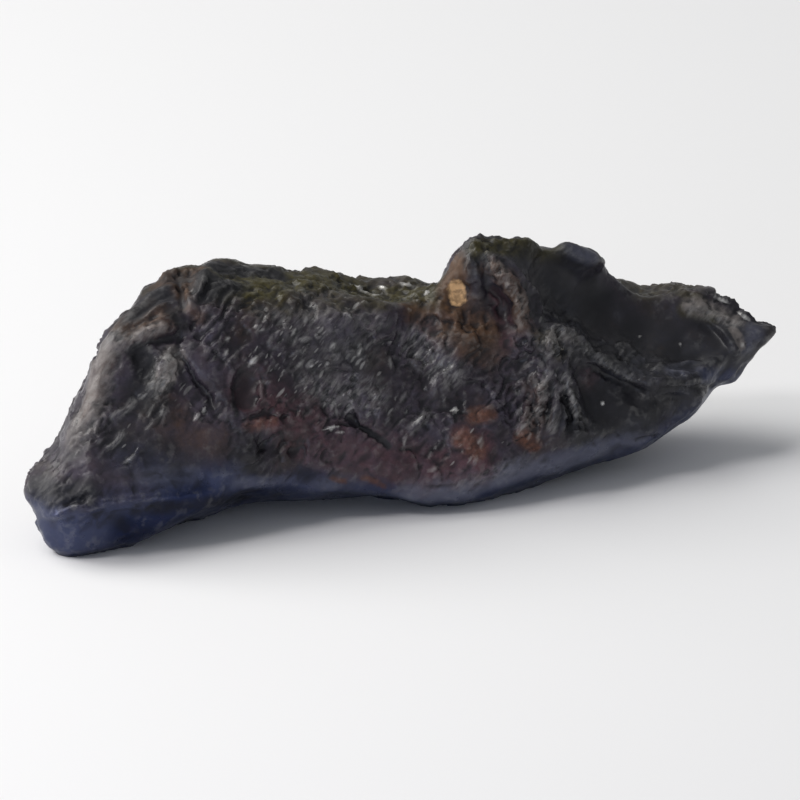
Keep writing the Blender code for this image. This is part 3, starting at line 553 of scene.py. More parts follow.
@dataclass
class Sight:
    """The show side: its right, its up, the way to the eye, and where its places count from."""

    right: Vector
    up: Vector
    towards: Vector
    start: Vector

    def at(self, rightward, upward):
        return self.start + (self.right * rightward + self.up * upward) * MM

    def leaning(self, degrees):
        """The direction that leans this far up from rightward."""
        lean = math.radians(degrees)
        return self.right * math.cos(lean) + self.up * math.sin(lean)


def show_sight():
    """The show side, lined up with the outline that the frame's node has from there."""
    towards = Vector((math.sin(SIGHT_TURN) * math.cos(SIGHT_RISE),
                      -math.cos(SIGHT_TURN) * math.cos(SIGHT_RISE),
                      math.sin(SIGHT_RISE)))
    right = Vector((math.cos(SIGHT_TURN), math.sin(SIGHT_TURN), 0))
    up = towards.cross(right)
    places = [vertex.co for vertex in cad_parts[NODE].data.vertices]
    across = [place.dot(right) for place in places]
    middle = (min(across) + max(across)) / 2 - SEEN_MIDDLE * MM
    top = max(place.dot(up) for place in places) - SEEN_TOP * MM
    return Sight(right, up, towards, right * middle + up * top)


@dataclass
class Flake:
    """A scale of bare metal on the crust, in metres. One end of it stands higher than the other."""

    point: np.ndarray
    normal: np.ndarray
    grain: np.ndarray
    length: float
    width: float
    height: float
    glint: float


def linked(name, data):
    obj = bpy.data.objects.new(name, data)
    bpy.context.scene.collection.objects.link(obj)
    return obj


def plain_mesh(obj):
    """The object's mesh with its modifiers applied. The object goes."""
    evaluated = obj.evaluated_get(bpy.context.evaluated_depsgraph_get())
    mesh = bpy.data.meshes.new_from_object(evaluated)
    bpy.data.objects.remove(obj)
    return mesh


def fine_form(node, voxel):
    """The node's form on an even, fine mesh, with its facets rounded off."""
    form = bmesh.new()
    form.from_mesh(node.data)
    bmesh.ops.remove_doubles(form, verts=form.verts, dist=MERGE)
    mesh = bpy.data.meshes.new("crust form")
    form.to_mesh(mesh)
    form.free()
    copy = linked("crust form", mesh)
    rounded = copy.modifiers.new("rounded", "SUBSURF")
    rounded.levels = rounded.render_levels = 2
    even = copy.modifiers.new("even", "REMESH")
    even.mode = "VOXEL"
    even.voxel_size = voxel
    return plain_mesh(copy)


class Clay:
    """A mesh as arrays: strokes that are pinned to the show side move its points or paint masks on it."""

    def __init__(self, mesh, sight):
        self.mesh = mesh
        self.sight = sight
        self.points = self.read(mesh.vertices, "co")
        self.masks = {}
        self.settle()

    @staticmethod
    def read(items, name):
        values = np.empty(len(items) * 3, np.float32)
        items.foreach_get(name, values)
        return values.reshape(-1, 3).astype(float)

    def settle(self):
        """Writes the points back, and reads the normals and the surface that strokes are pinned to."""
        self.mesh.vertices.foreach_set("co", self.points.astype(np.float32).ravel())
        self.mesh.update()
        self.normals = self.read(self.mesh.vertex_normals, "vector")
        faces = [tuple(face.vertices) for face in self.mesh.polygons]
        self.surface = BVHTree.FromPolygons(self.points.tolist(), faces)
        self.tree = KDTree(len(self.points))
        for i, point in enumerate(self.points.tolist()):
            self.tree.insert(point, i)
        self.tree.balance()

    def seen(self, place):
        """The point and the normal that are seen at a place, or nothing where it is off the lump."""
        towards = self.sight.towards
        point, normal, _, _ = self.surface.ray_cast(self.sight.at(*place) + towards, -towards)
        return None if point is None else (np.array(point), np.array(normal))

    def pin(self, place):
        """The point and the normal that are seen at a place on the lump."""
        found = self.seen(place)
        if found is None:
            raise ValueError(f"nothing is seen at {place}")
        return found

    def follow(self, places, radius):
        """The points near the path: which they are, how far off as a share, and how far along it."""
        path = np.array([self.pin(place)[0] for place in places])
        low, high = path.min(axis=0) - radius, path.max(axis=0) + radius
        near = np.flatnonzero(((self.points > low) & (self.points < high)).all(axis=1))
        points = self.points[near]
        gap = np.linalg.norm(points - path[0], axis=1)
        travelled = np.zeros(len(points))
        for i, (start, end) in enumerate(zip(path[:-1], path[1:])):
            run = end - start
            share = np.clip((points - start) @ run / (run @ run), 0, 1)
            distance = np.linalg.norm(points - start - share[:, None] * run, axis=1)
            closer = distance < gap
            gap[closer] = distance[closer]
            travelled[closer] = (i + share[closer]) / (len(path) - 1)
        inside = gap < radius
        return near[inside], gap[inside] / radius, travelled[inside]

    def wrinkle(self, places, half_width, height):
        """A narrow ridge, or a crack where the height is below zero, that fades at its ends."""
        near, off, travelled = self.follow(places, half_width * MM)
        section = (1 - off) ** RIDGE_SHARPNESS if height > 0 else (1 - off**2) ** 2
        rise = height * MM * section * (STROKE_ENDS + (1 - STROKE_ENDS) * np.sin(np.pi * travelled))
        self.points[near] += rise[:, None] * self.normals[near]

    def swell(self, places, radius, height):
        near, off, _ = self.follow(places, radius * MM)
        rise = height * MM * (1 - off**2) ** 1.5
        self.points[near] += rise[:, None] * self.normals[near]

    def mask(self, name):
        return self.masks.setdefault(name, np.zeros(len(self.points)))

    def deepen(self, name, values, near=slice(None)):
        """Brings a mask up to the values, on every point or on those near."""
        mask = self.mask(name)
        mask[near] = np.maximum(mask[near], values)

    def paint(self, name, places, radius, strength):
        near, off, _ = self.follow(places, radius * MM)
        self.deepen(name, strength * (1 - off**2), near)

    def dab(self, name, point, radius, strength):
        """Paints round a point in space, on what faces away from the side that is shown."""
        off = np.linalg.norm(self.points - np.array(point), axis=1) / radius
        near = np.flatnonzero((off < 1) & (self.normals @ np.array(self.sight.towards) < 0))
        self.deepen(name, strength * (1 - off[near]**2), near)

    def spread(self, name, middle, wide, tall, strength):
        """Paints an oval as seen on the side that is shown, on what faces it."""
        sight = self.sight
        offset = (self.points - np.array(sight.start)) / MM
        across = (offset @ np.array(sight.right) - middle[0]) / wide
        up = (offset @ np.array(sight.up) - middle[1]) / tall
        facing = self.normals @ np.array(sight.towards) > 0
        self.deepen(name, strength * np.exp(-(across**2 + up**2)) * facing)

    def covered(self, flake):
        """The points near a flake: which they are, how far along it, and how far inside its rim, up to 1."""
        found = self.tree.find_range(flake.point, flake.length / 2)
        near = np.array([index for _, index, _ in found], int)
        offset = self.points[near] - flake.point
        along = offset @ flake.grain / (flake.length / 2)
        beside = offset @ np.cross(flake.normal, flake.grain) / (flake.width / 2)
        depth = 1 - np.abs(along) ** FLAKE_OUTLINE - np.abs(beside) ** FLAKE_OUTLINE
        return near, along, depth

    def lift(self, flake):
        near, along, depth = self.covered(flake)
        rise = flake.height * np.clip(FLAKE_RIM * depth, 0, 1) * (1 - FLAKE_TILT + FLAKE_TILT * along)
        self.points[near] += rise[:, None] * flake.normal

    def paint_glint(self, flake):
        near, _, depth = self.covered(flake)
        # The flake's painted glint, strongest inside its rim
        self.deepen("flake", np.clip(GLINT_RIM * depth, 0, 1) * flake.glint, near)

    def edges(self):
        ends = np.empty(len(self.mesh.edges) * 2, np.int32)
        self.mesh.edges.foreach_get("vertices", ends)
        return ends.reshape(-1, 2)

    def softened(self, vectors, rounds):
        """Each point's vector, averaged over its neighbours as many times as there are rounds."""
        one, other = self.edges().T
        count = len(vectors)
        neighbours = np.bincount(one, minlength=count) + np.bincount(other, minlength=count)
        soft = vectors.copy()
        for _ in range(rounds):
            for axis in range(3):
                total = np.bincount(one, soft[other, axis], count)
                total += np.bincount(other, soft[one, axis], count)
                soft[:, axis] = total / np.maximum(neighbours, 1)
        return soft

    def find_crests(self):
        """Masks of what stands out from its surroundings, and of what lies deeper than they do, where shade
        is painted.
        """
        soft = self.softened(self.points, CREST_ROUNDS)
        stand = ((self.points - soft) * self.normals).sum(axis=1) / CREST_HEIGHT
        self.masks["crest"] = np.clip(stand, 0, 1)
        self.masks["cranny"] = np.clip(-stand, 0, 1)

    def stand_flat(self):
        """Nothing goes below the floor, and the underside that the lump stands on stays flat."""
        sole = (self.points[:, 2] < SOLE_HEIGHT) & (self.normals[:, 2] < -0.8)
        self.points[sole, 2] = 0
        self.points[:, 2] = np.maximum(self.points[:, 2], 0)

    def store(self):
        """Leaves the masks on the mesh, for its nodes."""
        attributes = self.mesh.attributes
        for name, mask in self.masks.items():
            if name in attributes:
                attributes.remove(attributes[name])
            attributes.new(name, "FLOAT", "POINT").data.foreach_set("value", mask.astype(np.float32))


def sculpt_strokes(clay):
    for places, radius, height in SWELLS:
        clay.swell(places, radius, height)
    for place, radius, depth in PITS:
        clay.swell([place], radius, -depth)
    for places, half_width, height in RIDGES:
        clay.wrinkle(places, half_width, height)
    for places, half_width, depth in CRACKS:
        clay.wrinkle(places, half_width, -depth)
    clay.settle()


def far_patches(sight, seed):
    """The far side's patches: name, point, radius and strength."""
    chance = np.random.default_rng(seed)
    far = [vertex.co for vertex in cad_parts[NODE].data.vertices
           if vertex.normal.dot(sight.towards) < FAR_FACING]
    return [(name, far[chance.integers(len(far))], chance.uniform(*FAR_RADII),
             strongest * chance.uniform(0.5, 1))
            for name, count, strongest in FAR_PATCHES for _ in range(count)]


def paint_ground(clay, patches):
    """Masks of where the crust is smooth and where it is knobbly."""
    for places, radius, strength in CALM:
        clay.paint("calm", places, radius, strength)
    for places, half_width, _ in RIDGES + CRACKS:
        clay.paint("calm", places, STROKE_REACH * half_width, STROKE_CALM)
    clay.deepen("calm", np.clip(-2.5 * clay.normals[:, 2] - 0.2, 0, UNDERSIDE_CALM))
    clay.mask("calm")[clay.points[:, 2] < 2 * SOLE_HEIGHT] = 1
    for places, radius, strength in LIVELY:
        clay.paint("lively", places, radius, strength)
    for patch in patches:
        if patch[0] == "calm":
            clay.dab(*patch)


def flake_at(clay, point, normal, length, width, lean, height, glint):
    """A flake that lies in the surface, with its length turned to the lean."""
    grain = np.array(clay.sight.leaning(lean))
    grain -= normal * (grain @ normal)
    grain /= max(np.linalg.norm(grain), 1e-6)
    return Flake(point, normal, grain, length * MM, width * MM, height * MM, glint)


def random_flake(clay, point, normal, lean, chance):
    """A flake of a chance size. Long ones are rare, and bright ones rarer."""
    def pick(least, more, rarity=1):
        return least + more * chance.random() ** rarity

    length = pick(*SOWN_LENGTH, rarity=2)
    width = max(NARROWEST, length * pick(*SOWN_SLIMNESS))
    height = pick(*SOWN_HEIGHT)
    glint = pick(*SOWN_GLINT, rarity=3)
    return flake_at(clay, point, normal, length, width, lean + chance.normal() * SOWN_TURN, height, glint)


def sown_flakes(clay, seed):
    """The flakes: the few that stand out, those of the fields, and the loose ones all over."""
    chance = np.random.default_rng(seed)
    flakes = [flake_at(clay, *clay.pin(place), length, width, lean, BRIGHT_HEIGHT, glint)
              for place, length, width, lean, glint in BRIGHT_FLAKES]
    sown = []
    for (across, up), wide, tall, count, lean in FLAKE_FIELDS:
        for _ in range(count):
            found = clay.seen((across + wide * chance.normal() * SOWN_SPREAD,
                               up + tall * chance.normal() * SOWN_SPREAD))
            if found:
                sown.append(random_flake(clay, *found, lean, chance))
    for i in chance.integers(len(clay.points), size=LOOSE_FLAKES):
        sown.append(random_flake(clay, clay.points[i].copy(), clay.normals[i].copy(), LOOSE_LEAN, chance))
    calm = clay.mask("calm")
    return flakes + [flake for flake in sown if calm[clay.tree.find(flake.point)[1]] < TOO_CALM]


class Tree:
    """Adds nodes to a tree: a socket given as an input is linked, and any other value is set."""

    def __init__(self, tree):
        self.nodes = tree.nodes
        self.links = tree.links

    def add(self, kind, inputs=None, **settings):
        node = self.nodes.new(kind)
        node.location = (180 * (len(self.nodes) % 24), -260 * (len(self.nodes) // 24))
        for name, value in settings.items():
            setattr(node, name, value)
        for key, value in (inputs or {}).items():
            self.feed(node.inputs[key], value)
        return node

    def feed(self, socket, value):
        if isinstance(value, bpy.types.NodeSocket):
            self.links.new(value, socket)
        else:
            socket.default_value = value

    def math(self, operation, one, other=0.0, third=0.0):
        return self.add("ShaderNodeMath", {0: one, 1: other, 2: third}, operation=operation).outputs[0]

    def times(self, product, *factors):
        for factor in factors:
            product = self.math("MULTIPLY", product, factor)
        return product

    def vector(self, operation, one, other):
        node = self.add("ShaderNodeVectorMath", {0: one}, operation=operation)
        self.feed(node.inputs["Scale" if operation == "SCALE" else 1], other)
        return node.outputs["Value" if operation == "DOT_PRODUCT" else "Vector"]

    def ramp(self, value, low, high, start=0.0, end=1.0):
        """The value's run from low to high, as a smooth run from start to end."""
        return self.add("ShaderNodeMapRange", {0: value, 1: low, 2: high, 3: start, 4: end},
                        interpolation_type="SMOOTHSTEP").outputs[0]

    def noise(self, coordinates, scale, detail=3.0, roughness=0.55):
        return self.add("ShaderNodeTexNoise", {"Vector": coordinates, "Scale": scale, "Detail": detail,
                                               "Roughness": roughness}).outputs[0]

    def wobble(self, coordinates, scale):
        """A push in a chance direction, which changes slowly from place to place."""
        noise = self.add("ShaderNodeTexNoise", {"Vector": coordinates, "Scale": scale, "Detail": 2.0})
        return self.vector("SUBTRACT", noise.outputs["Color"], HALF)

    def mix(self, factor, one, other):
        """One colour turning into another. The sockets are the colour ones of the Mix node."""
        return self.add("ShaderNodeMix", {0: factor, 6: one, 7: other}, data_type="RGBA").outputs[2]

    def attribute(self, name):
        return self.add("ShaderNodeAttribute", attribute_name=name).outputs["Fac"]


def new_group(name, kind, inputs, outputs):
    """A node group with its sockets, each given as a name and a kind: the group, its Tree and its inputs."""
    group = bpy.data.node_groups.new(name, kind)
    for in_out, sockets in (("INPUT", inputs), ("OUTPUT", outputs)):
        for socket, value in sockets:
            group.interface.new_socket(socket, in_out=in_out, socket_type="NodeSocket" + value)
    tree = Tree(group)
    return group, tree, tree.add("NodeGroupInput").outputs


def input_name(size):
    """The tree's input for one of the sizes."""
    return size.replace("_", " ").title()


def tilted_cells(tree, place, height, softness):
    """Cells that each tilt and stand their own way, as chipped faces do."""
    cells = tree.add("ShaderNodeTexVoronoi", {"Vector": place, "Scale": 1.0, "Smoothness": softness},
                     feature="SMOOTH_F1").outputs
    way = tree.vector("SUBTRACT", cells["Color"], HALF)
    across = tree.vector("SUBTRACT", place, cells["Position"])
    tilt = tree.vector("DOT_PRODUCT", across, way)
    step = tree.vector("DOT_PRODUCT", way, (CELL_STEP, 0.0, 0.0))
    return tree.times(tree.math("ADD", tilt, step), height)


def relief_tree():
    """Roughens a skin along its normals: facets, wrinkles, scales and grain, less so where it is calm,
    and knobs where it is lively."""
    inputs = [("Geometry", "Geometry"), *((input_name(size), "Float") for size in RELIEF_SIZES),
              ("Lean", "Vector"), ("Seed", "Int"), ("Material", "Material")]
    group, tree, given = new_group("crust relief", "GeometryNodeTree", inputs, [("Geometry", "Geometry")])
    shift = tree.vector("SCALE", (17.3, 5.1, 9.7), given["Seed"])
    position = tree.add("GeometryNodeInputPosition").outputs[0]
    turned = tree.add("ShaderNodeVectorRotate", {"Vector": position, "Rotation": given["Lean"]},
                      rotation_type="EULER_XYZ", invert=True).outputs[0]

    def spaced(size):
        """Places counted in steps of a size."""
        return tree.vector("ADD", tree.vector("DIVIDE", position, given[size]), shift)

    wobble = tree.wobble(spaced("Facet Size"), 0.9)

    def wobbly(kind):
        return tree.vector("ADD", spaced(kind + " Size"), wobble)

    def leaning(kind):
        """Places counted in steps that lie along the lean, as long and as wide as the kind is."""
        sides = tree.add("ShaderNodeCombineXYZ", {0: given[kind + " Length"], 1: given[kind + " Width"],
                                                  2: given[kind + " Length"]}).outputs[0]
        steps = tree.vector("ADD", tree.vector("DIVIDE", turned, sides), shift)
        return tree.vector("ADD", steps, wobble)

    def painted(name):
        return tree.add("GeometryNodeInputNamedAttribute", {"Name": name},
                        data_type="FLOAT").outputs["Attribute"]

    facets = tilted_cells(tree, wobbly("Facet"), given["Facet Height"], CHIP_SOFTNESS)
    scales = tilted_cells(tree, leaning("Scale"), given["Scale Height"], SCALE_SOFTNESS)
    knobs = tilted_cells(tree, wobbly("Knob"), given["Knob Height"], CHIP_SOFTNESS)

    # A wrinkle's crest runs where the noise crosses its middle value. Wrinkles come in stretches.
    waves = tree.noise(leaning("Wrinkle"), 1.0, detail=1.5, roughness=0.5)
    crests = tree.math("ABSOLUTE", tree.math("SUBTRACT", waves, 0.5))
    crests = tree.math("SUBTRACT", 0.55, tree.math("MINIMUM", tree.times(crests, 6.0), 1.0))
    stretches = tree.ramp(tree.noise(spaced("Facet Size"), 0.45, detail=1.0), 0.38, 0.6, 0.25, 1.0)
    wrinkles = tree.times(crests, stretches, given["Wrinkle Height"])

    grain = tree.noise(spaced("Grain Size"), 1.0, detail=4.0, roughness=0.62)
    grain = tree.times(tree.math("SUBTRACT", grain, 0.5), tree.times(given["Grain Height"], 2.0))

    rise = tree.math("ADD", tree.math("ADD", facets, wrinkles), tree.math("ADD", scales, grain))
    rough = tree.ramp(tree.noise(spaced("Facet Size"), 0.36, detail=2.0), 0.38, 0.62, 0.5, 1.3)
    rise = tree.times(rise, rough, tree.math("MULTIPLY_ADD", painted("calm"), -CALM_SMOOTHS, 1.0))
    rise = tree.math("MULTIPLY_ADD", knobs, painted("lively"), rise)
    offset = tree.vector("SCALE", tree.add("GeometryNodeInputNormal").outputs[0], rise)
    skin = tree.add("GeometryNodeSetPosition", {"Geometry": given["Geometry"], "Offset": offset}).outputs[0]
    skin = tree.add("GeometryNodeRealizeInstances", {"Geometry": skin}).outputs[0]
    skin = tree.add("GeometryNodeSetMaterial", {"Geometry": skin, "Material": given["Material"]}).outputs[0]
    tree.add("NodeGroupOutput", {"Geometry": skin})
    return group


def leaning_turn(sight, lean):
    """The turn that lays X along the lean and Z towards the eye, as angles."""
    along = sight.leaning(lean)
    across = sight.towards.cross(along)
    return Matrix((along, across, sight.towards)).transposed().to_euler()


def roughened(mesh, sizes, material, sight):
    """The sculpted mesh with its relief, in as many triangles as the crust keeps."""
    crust = linked("crust form", mesh)
    group = relief_tree()
    relief = crust.modifiers.new("relief", "NODES")
    relief.node_group = group
    wanted = {input_name(size): getattr(sizes, size) for size in RELIEF_SIZES}
    wanted |= {"Lean": leaning_turn(sight, LOOSE_LEAN), "Seed": sizes.seed, "Material": material}
    for socket in group.interface.items_tree:
        if socket.in_out == "INPUT" and socket.name in wanted:
            relief[socket.identifier] = wanted[socket.name]
    fewer = crust.modifiers.new("fewer", "DECIMATE")
    fewer.ratio = min(1.0, sizes.triangles / (2 * len(mesh.polygons)))
    return plain_mesh(crust)


def patch_group():
    """A patch of another colour over a ground colour, broken up at its rim."""
    inputs = [("Ground", "Color"), ("Patch", "Color"), ("Spread", "Float"), ("Size", "Float"),
              ("Crispness", "Float")]
    outputs = [("Colour", "Color"), ("Cover", "Float")]
    group, tree, given = new_group("broken patch", "ShaderNodeTree", inputs, outputs)
    place = tree.add("ShaderNodeTexCoord").outputs["Object"]
    steps = tree.vector("SCALE", place, tree.math("DIVIDE", 1.0, given["Size"]))
    blotch = tree.noise(steps, 1.0, detail=6.0, roughness=0.7)
    # The noise pushes the rim in and out of where the spread is a half.
    reach = tree.math("MULTIPLY_ADD", given["Spread"], 1.3, tree.times(blotch, 1.2))
    edge = tree.times(tree.math("SUBTRACT", reach, 1.25), given["Crispness"])
    cover = tree.ramp(edge, -0.5, 0.5, 0.0, 0.95)
    mottle = tree.ramp(tree.noise(place, 480.0, detail=5.0, roughness=0.7), 0.32, 0.68, -0.4, 0.36)
    rough = tree.math("SUBTRACT", 1.0, tree.attribute("calm"))
    mottled = tree.vector("SCALE", given["Patch"], tree.math("MULTIPLY_ADD", mottle, rough, 1.0))
    tree.add("NodeGroupOutput", {"Colour": tree.mix(cover, given["Ground"], mottled), "Cover": cover})
    return group


def solid(colour, share=1.0):
    """A colour for a socket, dimmed or brightened by a share."""
    return (*(part * share for part in colour), 1.0)


def mottled_crust(tree, place, colours):
    """The crust's own mottled colour, with old rust through it."""
    broad = tree.noise(place, 120.0, detail=6.0, roughness=0.68)
    colour = tree.mix(tree.ramp(broad, 0.36, 0.66), solid(colours.crust, 0.5), solid(colours.crust, 1.45))
    warm = tree.noise(tree.vector("ADD", place, (0.3, 0.1, 0.2)), 90.0, detail=5.0, roughness=0.65)
    return tree.mix(tree.ramp(warm, 0.5, 0.75, 0.0, 0.5), colour, solid(colours.brown, 0.6))


def bare_metal_and_glints(tree, place, sight):
    """How bare the metal is, painted glints and highlights included: on what stands out, in leaning slivers
    where the crust is flaky, on the flakes and on worn ground. Also how far each place is from the middle of
    its sliver."""
    fine = tree.noise(place, 700.0, detail=2.0)
    bare_and_glint = tree.times(tree.attribute("crest"), tree.ramp(fine, 0.45, 0.65), 0.07)
    bent = tree.vector("ADD", place, tree.vector("SCALE", tree.wobble(place, 350.0), 1.2 * MM))
    flaky = tree.attribute("flaky")
    for length, width in SLIVERS:
        sliver = tree.add("ShaderNodeMapping", {"Vector": bent, "Rotation": leaning_turn(sight, LOOSE_LEAN),
                                                "Scale": (length * MM, width * MM, length * MM)},
                          vector_type="TEXTURE").outputs[0]
        cells = tree.add("ShaderNodeTexVoronoi", {"Vector": sliver, "Scale": 1.0}).outputs
        pick = tree.add("ShaderNodeSeparateColor", {0: cells["Color"]}).outputs
        chance = tree.math("MULTIPLY_ADD", flaky, 0.3, pick[0])
        lit = tree.times(tree.ramp(chance, 0.99, 1.06), tree.ramp(cells["Distance"], 0.42, 0.22),
                         tree.math("MULTIPLY_ADD", pick[1], 0.26, 0.08))
        bare_and_glint = tree.math("MAXIMUM", bare_and_glint, lit)
    streaks = tree.noise(sliver, 0.7, detail=4.0, roughness=0.6)
    flake = tree.times(tree.attribute("flake"), tree.ramp(streaks, 0.32, 0.6, 0.25, 1.0))
    worn = tree.times(tree.attribute("worn"), tree.ramp(streaks, 0.36, 0.68, 0.03, 0.34))
    return tree.math("MAXIMUM", tree.math("MAXIMUM", bare_and_glint, flake), worn), cells["Distance"]


def crust_finish(tree, surface, place, bare_and_glint, covers, slivers):
    """The crust's gloss and pores: dull where it is rusty, or dark with soot and painted shade, with a metal
    sheen where the blue reflection and the blue shade are painted.
    """
    roughness = tree.ramp(tree.noise(place, 420.0, detail=4.0), 0.3, 0.7, 0.26, 0.44)
    dull = tree.math("MAXIMUM", tree.attribute("soot"), tree.attribute("brown"))
    dull = tree.math("MAXIMUM", dull, tree.times(tree.attribute("rust"), 0.5))
    roughness = tree.math("MULTIPLY_ADD", dull, 0.25, roughness)
    tree.feed(surface.inputs["Roughness"], tree.math("MULTIPLY_ADD", bare_and_glint, -0.12, roughness))
    # The painted blue reflection and blue shade also get a metal sheen
    blue_covers = tree.math("MAXIMUM", tree.times(covers["steel"], 0.6), tree.times(covers["navy"], 0.75))
    sheen = tree.math("SUBTRACT", blue_covers, tree.times(covers["bloom"], 0.7))
    tree.feed(surface.inputs["Metallic"], tree.math("MAXIMUM", tree.times(bare_and_glint, 0.5), sheen))
    surface.inputs["Specular IOR Level"].default_value = 0.28

    pores = tree.noise(place, 2600.0, detail=4.0, roughness=0.65)
    height = tree.times(tree.math("MULTIPLY_ADD", slivers, 0.6, pores),
                        tree.math("MULTIPLY_ADD", tree.attribute("calm"), -0.8, 1.0))
    bump = tree.add("ShaderNodeBump", {"Height": height, "Strength": 0.25, "Distance": 0.05 * MM})
    tree.feed(surface.inputs["Normal"], bump.outputs[0])


def plain_material(name):
    """A material with its node tree, and its shader."""
    material = bpy.data.materials.new(name)
    material.use_nodes = True
    return material, material.node_tree.nodes["Principled BSDF"]


def crust_material(colours, sight):
    material, surface = plain_material("weathered iron crust")
    tree = Tree(material.node_tree)
    patch = patch_group()
    place = tree.add("ShaderNodeTexCoord").outputs["Object"]

    def covered(ground, tinted, name, size, crispness):
        """The ground with a tint over it where its mask is painted: the colour, and how far it covers."""
        return tree.add("ShaderNodeGroup", {"Ground": ground, "Patch": tinted, "Spread": tree.attribute(name),
                                            "Size": size * MM, "Crispness": crispness},
                        node_tree=patch).outputs

    colour = mottled_crust(tree, place, colours)
    covers = {}
    for name, size, crispness in COVERS:
        over = covered(colour, solid(getattr(colours, name)), name, size, crispness)
        colour, covers[name] = over["Colour"], over["Cover"]
    # Painted shade: what lies deeper than its surroundings is darkened towards the soot colour
    colour = tree.mix(tree.times(tree.attribute("cranny"), 0.75), colour, solid(colours.soot))
    bare_and_glint, slivers = bare_metal_and_glints(tree, place, sight)
    # Bare metal and the painted glints and highlights lighten the colour towards the metal tint
    colour = tree.mix(bare_and_glint, colour, solid(colours.metal))
    speckle = tree.ramp(tree.noise(place, 900.0), 0.4, 0.58)
    ochre = tree.mix(speckle, solid(colours.ochre, 0.5), solid(colours.ochre))
    tree.feed(surface.inputs["Base Color"], covered(colour, ochre, "ochre", 1.1, 1.5)["Colour"])
    crust_finish(tree, surface, place, bare_and_glint, covers, slivers)
    return material


def tint_crust(skin, far, flakes):
    """Masks of where each tint lies, painted shade, reflections and highlights among them, of flaky ground
    and of the flakes' painted glints.
    """
    for name, patches in TINTS.items():
        for places, radius, strength in patches:
            skin.paint(name, places, radius, strength)
    # Painted reflections by the way the ground faces: blue on what faces down near the floor, olive on what
    # faces up
    upward = skin.softened(skin.normals, BROAD_ROUNDS)[:, 2]
    low = np.clip(2 - skin.points[:, 2] / BLUE_REFLECTION_HEIGHT, 0, 1)
    skin.deepen("steel", np.clip(-1.6 * upward, 0, 0.9) * low)
    skin.deepen("olive", OLIVE_REFLECTION * np.clip(3 * upward - 1.5, 0, 1) * (1 - skin.mask("slate")))
    for name, point, radius, strength in far:
        if name != "calm":
            skin.dab(name, point, radius, strength)
    skin.mask("flaky")[:] = FLAKY_ALL_OVER * (1 - skin.mask("calm"))
    for place, wide, tall, count, _ in FLAKE_FIELDS:
        skin.spread("flaky", place, wide, tall, min(1, count / FULLY_FLAKY))
    skin.mask("flaky")[:] *= 1 - CALM_SPARES * skin.mask("calm")
    for flake in flakes:
        skin.paint_glint(flake)


def build_crust(scene):
    """The sculpted, tinted crust, which stands for the frame's node."""
    sizes = scene.meteorite_sizes
    sight = show_sight()
    clay = Clay(fine_form(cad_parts[NODE], sizes.voxel), sight)
    sculpt_strokes(clay)
    far = far_patches(sight, sizes.seed)
    paint_ground(clay, far)
    flakes = sown_flakes(clay, sizes.seed)
    for flake in flakes:
        clay.lift(flake)
    clay.settle()
    clay.store()
    mesh = roughened(clay.mesh, sizes, crust_material(scene.meteorite_colours, sight), sight)

    skin = Clay(mesh, sight)
    skin.stand_flat()
    skin.settle()
    skin.find_crests()
    paint_ground(skin, far)
    tint_crust(skin, far, flakes)
    skin.store()
    mesh.name = "crust"
    mesh.shade_smooth()
    crust = linked("crust", mesh)
    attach(crust, BODY)
    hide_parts(NODE)


def lay_floor(colour):
    mesh = bpy.data.meshes.new("floor")
    corners = [(x * FLOOR_REACH, y * FLOOR_REACH, 0) for x, y in ((-1, -1), (1, -1), (1, 1), (-1, 1))]
    mesh.from_pydata(corners, [], [(0, 1, 2, 3)])
    material, surface = plain_material("pale floor")
    surface.inputs["Base Color"].default_value = solid(colour)
    surface.inputs["Roughness"].default_value = FLOOR_ROUGHNESS
    mesh.materials.append(material)
    floor = linked("floor", mesh)


def hang_lights(scene, sight, middle):
    world = bpy.data.worlds.new("surround")
    world.use_nodes = True
    background = world.node_tree.nodes["Background"]
    background.inputs["Color"].default_value = SURROUND_COLOUR
    background.inputs["Strength"].default_value = scene.meteorite_stage.surround
    scene.world = world
    level = Vector((sight.towards.x, sight.towards.y, 0)).normalized()
    upright = Matrix((sight.right, level, (0, 0, 1))).transposed()
    for name, way, size, colour in LIGHTS:
        light = bpy.data.lights.new(name, "AREA")
        light.shape = "DISK"
        light.size = size
        light.energy = getattr(scene.meteorite_stage, name + "_power")
        light.color = colour
        way = upright @ Vector(way)
        lamp = linked(name, light)
        lamp.location = middle + way.normalized() * LIGHT_DISTANCE
        lamp.rotation_euler = way.to_track_quat("Z", "Y").to_euler()


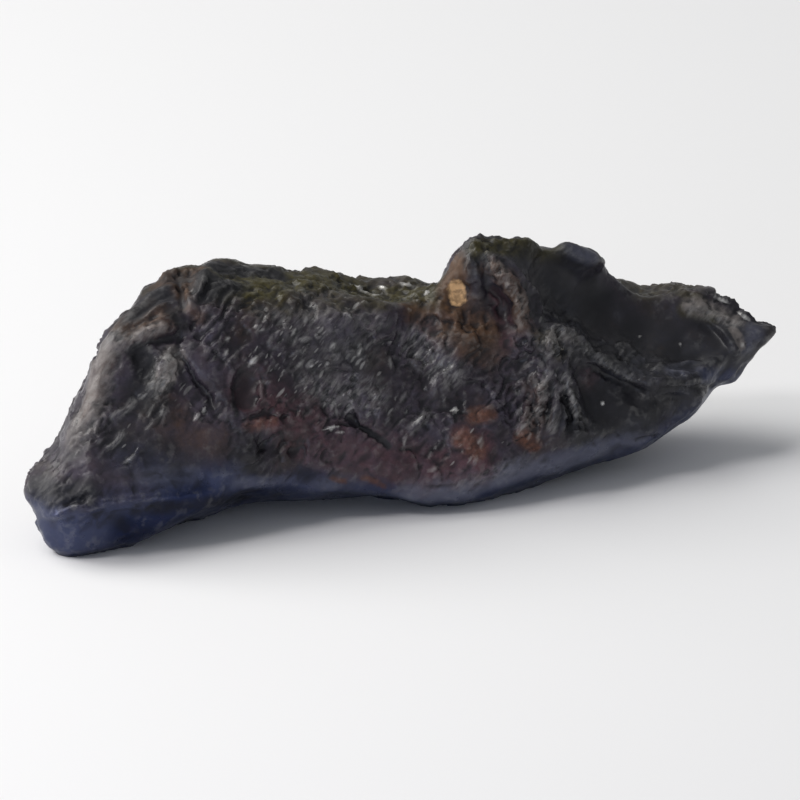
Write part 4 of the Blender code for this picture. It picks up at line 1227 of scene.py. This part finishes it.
def build_stage(scene):
    """The floor, the light and the camera."""
    settings = scene.meteorite_stage
    sight = show_sight()
    low, high = (Vector(corner) for corner in CAD_BOX)
    middle = (low + high) / 2
    lay_floor(settings.floor)
    hang_lights(scene, sight, middle)

    camera = bpy.data.cameras.new("show side")
    camera.lens = settings.lens
    camera.sensor_width = SENSOR_WIDTH
    camera.clip_end = FARTHEST_SEEN
    eye = linked("show side", camera)
    distance = settings.picture_width * settings.lens / camera.sensor_width
    aim = sight.at(0.0, settings.picture_middle) + sight.towards * middle.dot(sight.towards)
    eye.location = aim + sight.towards * distance
    eye.rotation_euler = Matrix((sight.right, sight.up, sight.towards)).transposed().to_euler()
    scene.camera = eye
    scene.view_settings.view_transform = "Standard"


class METEORITE_OT_crust(bpy.types.Operator):
    """Sculpt and tint the crust over the frame's lump"""

    bl_idname = "meteorite.crust"
    bl_label = "Build Crust"

    def execute(self, context):
        build_crust(context.scene)
        return {"FINISHED"}


class METEORITE_OT_stage(bpy.types.Operator):
    """Lay the floor, and set the light and the camera"""

    bl_idname = "meteorite.stage"
    bl_label = "Build Stage"

    def execute(self, context):
        build_stage(context.scene)
        return {"FINISHED"}


class METEORITE_PT_panel(bpy.types.Panel):
    """Lists the sizes, the colours and the steps"""

    bl_idname = "METEORITE_PT_panel"
    bl_label = "Meteorite"
    bl_space_type = "VIEW_3D"
    bl_region_type = "UI"
    bl_category = "Meteorite"

    def draw(self, context):
        for settings in (context.scene.meteorite_sizes, context.scene.meteorite_colours,
                         context.scene.meteorite_stage):
            column = self.layout.column()
            for name in settings.bl_rna.properties.keys():
                if name not in {"rna_type", "name"}:
                    column.prop(settings, name)
        for operator in OPERATORS:
            self.layout.operator(operator.bl_idname)


OPERATORS = (METEORITE_OT_crust, METEORITE_OT_stage)
CLASSES = (CrustSizes, CrustColours, StageSettings, *OPERATORS, METEORITE_PT_panel)


def register():
    for cls in CLASSES:
        bpy.utils.register_class(cls)
    bpy.types.Scene.meteorite_sizes = PointerProperty(type=CrustSizes)
    bpy.types.Scene.meteorite_colours = PointerProperty(type=CrustColours)
    bpy.types.Scene.meteorite_stage = PointerProperty(type=StageSettings)


def unregister():
    del bpy.types.Scene.meteorite_stage
    del bpy.types.Scene.meteorite_colours
    del bpy.types.Scene.meteorite_sizes
    for cls in reversed(CLASSES):
        bpy.utils.unregister_class(cls)


def main():
    register()
    bpy.ops.meteorite.crust()
    bpy.ops.meteorite.stage()


if __name__ == "__main__":
    main()
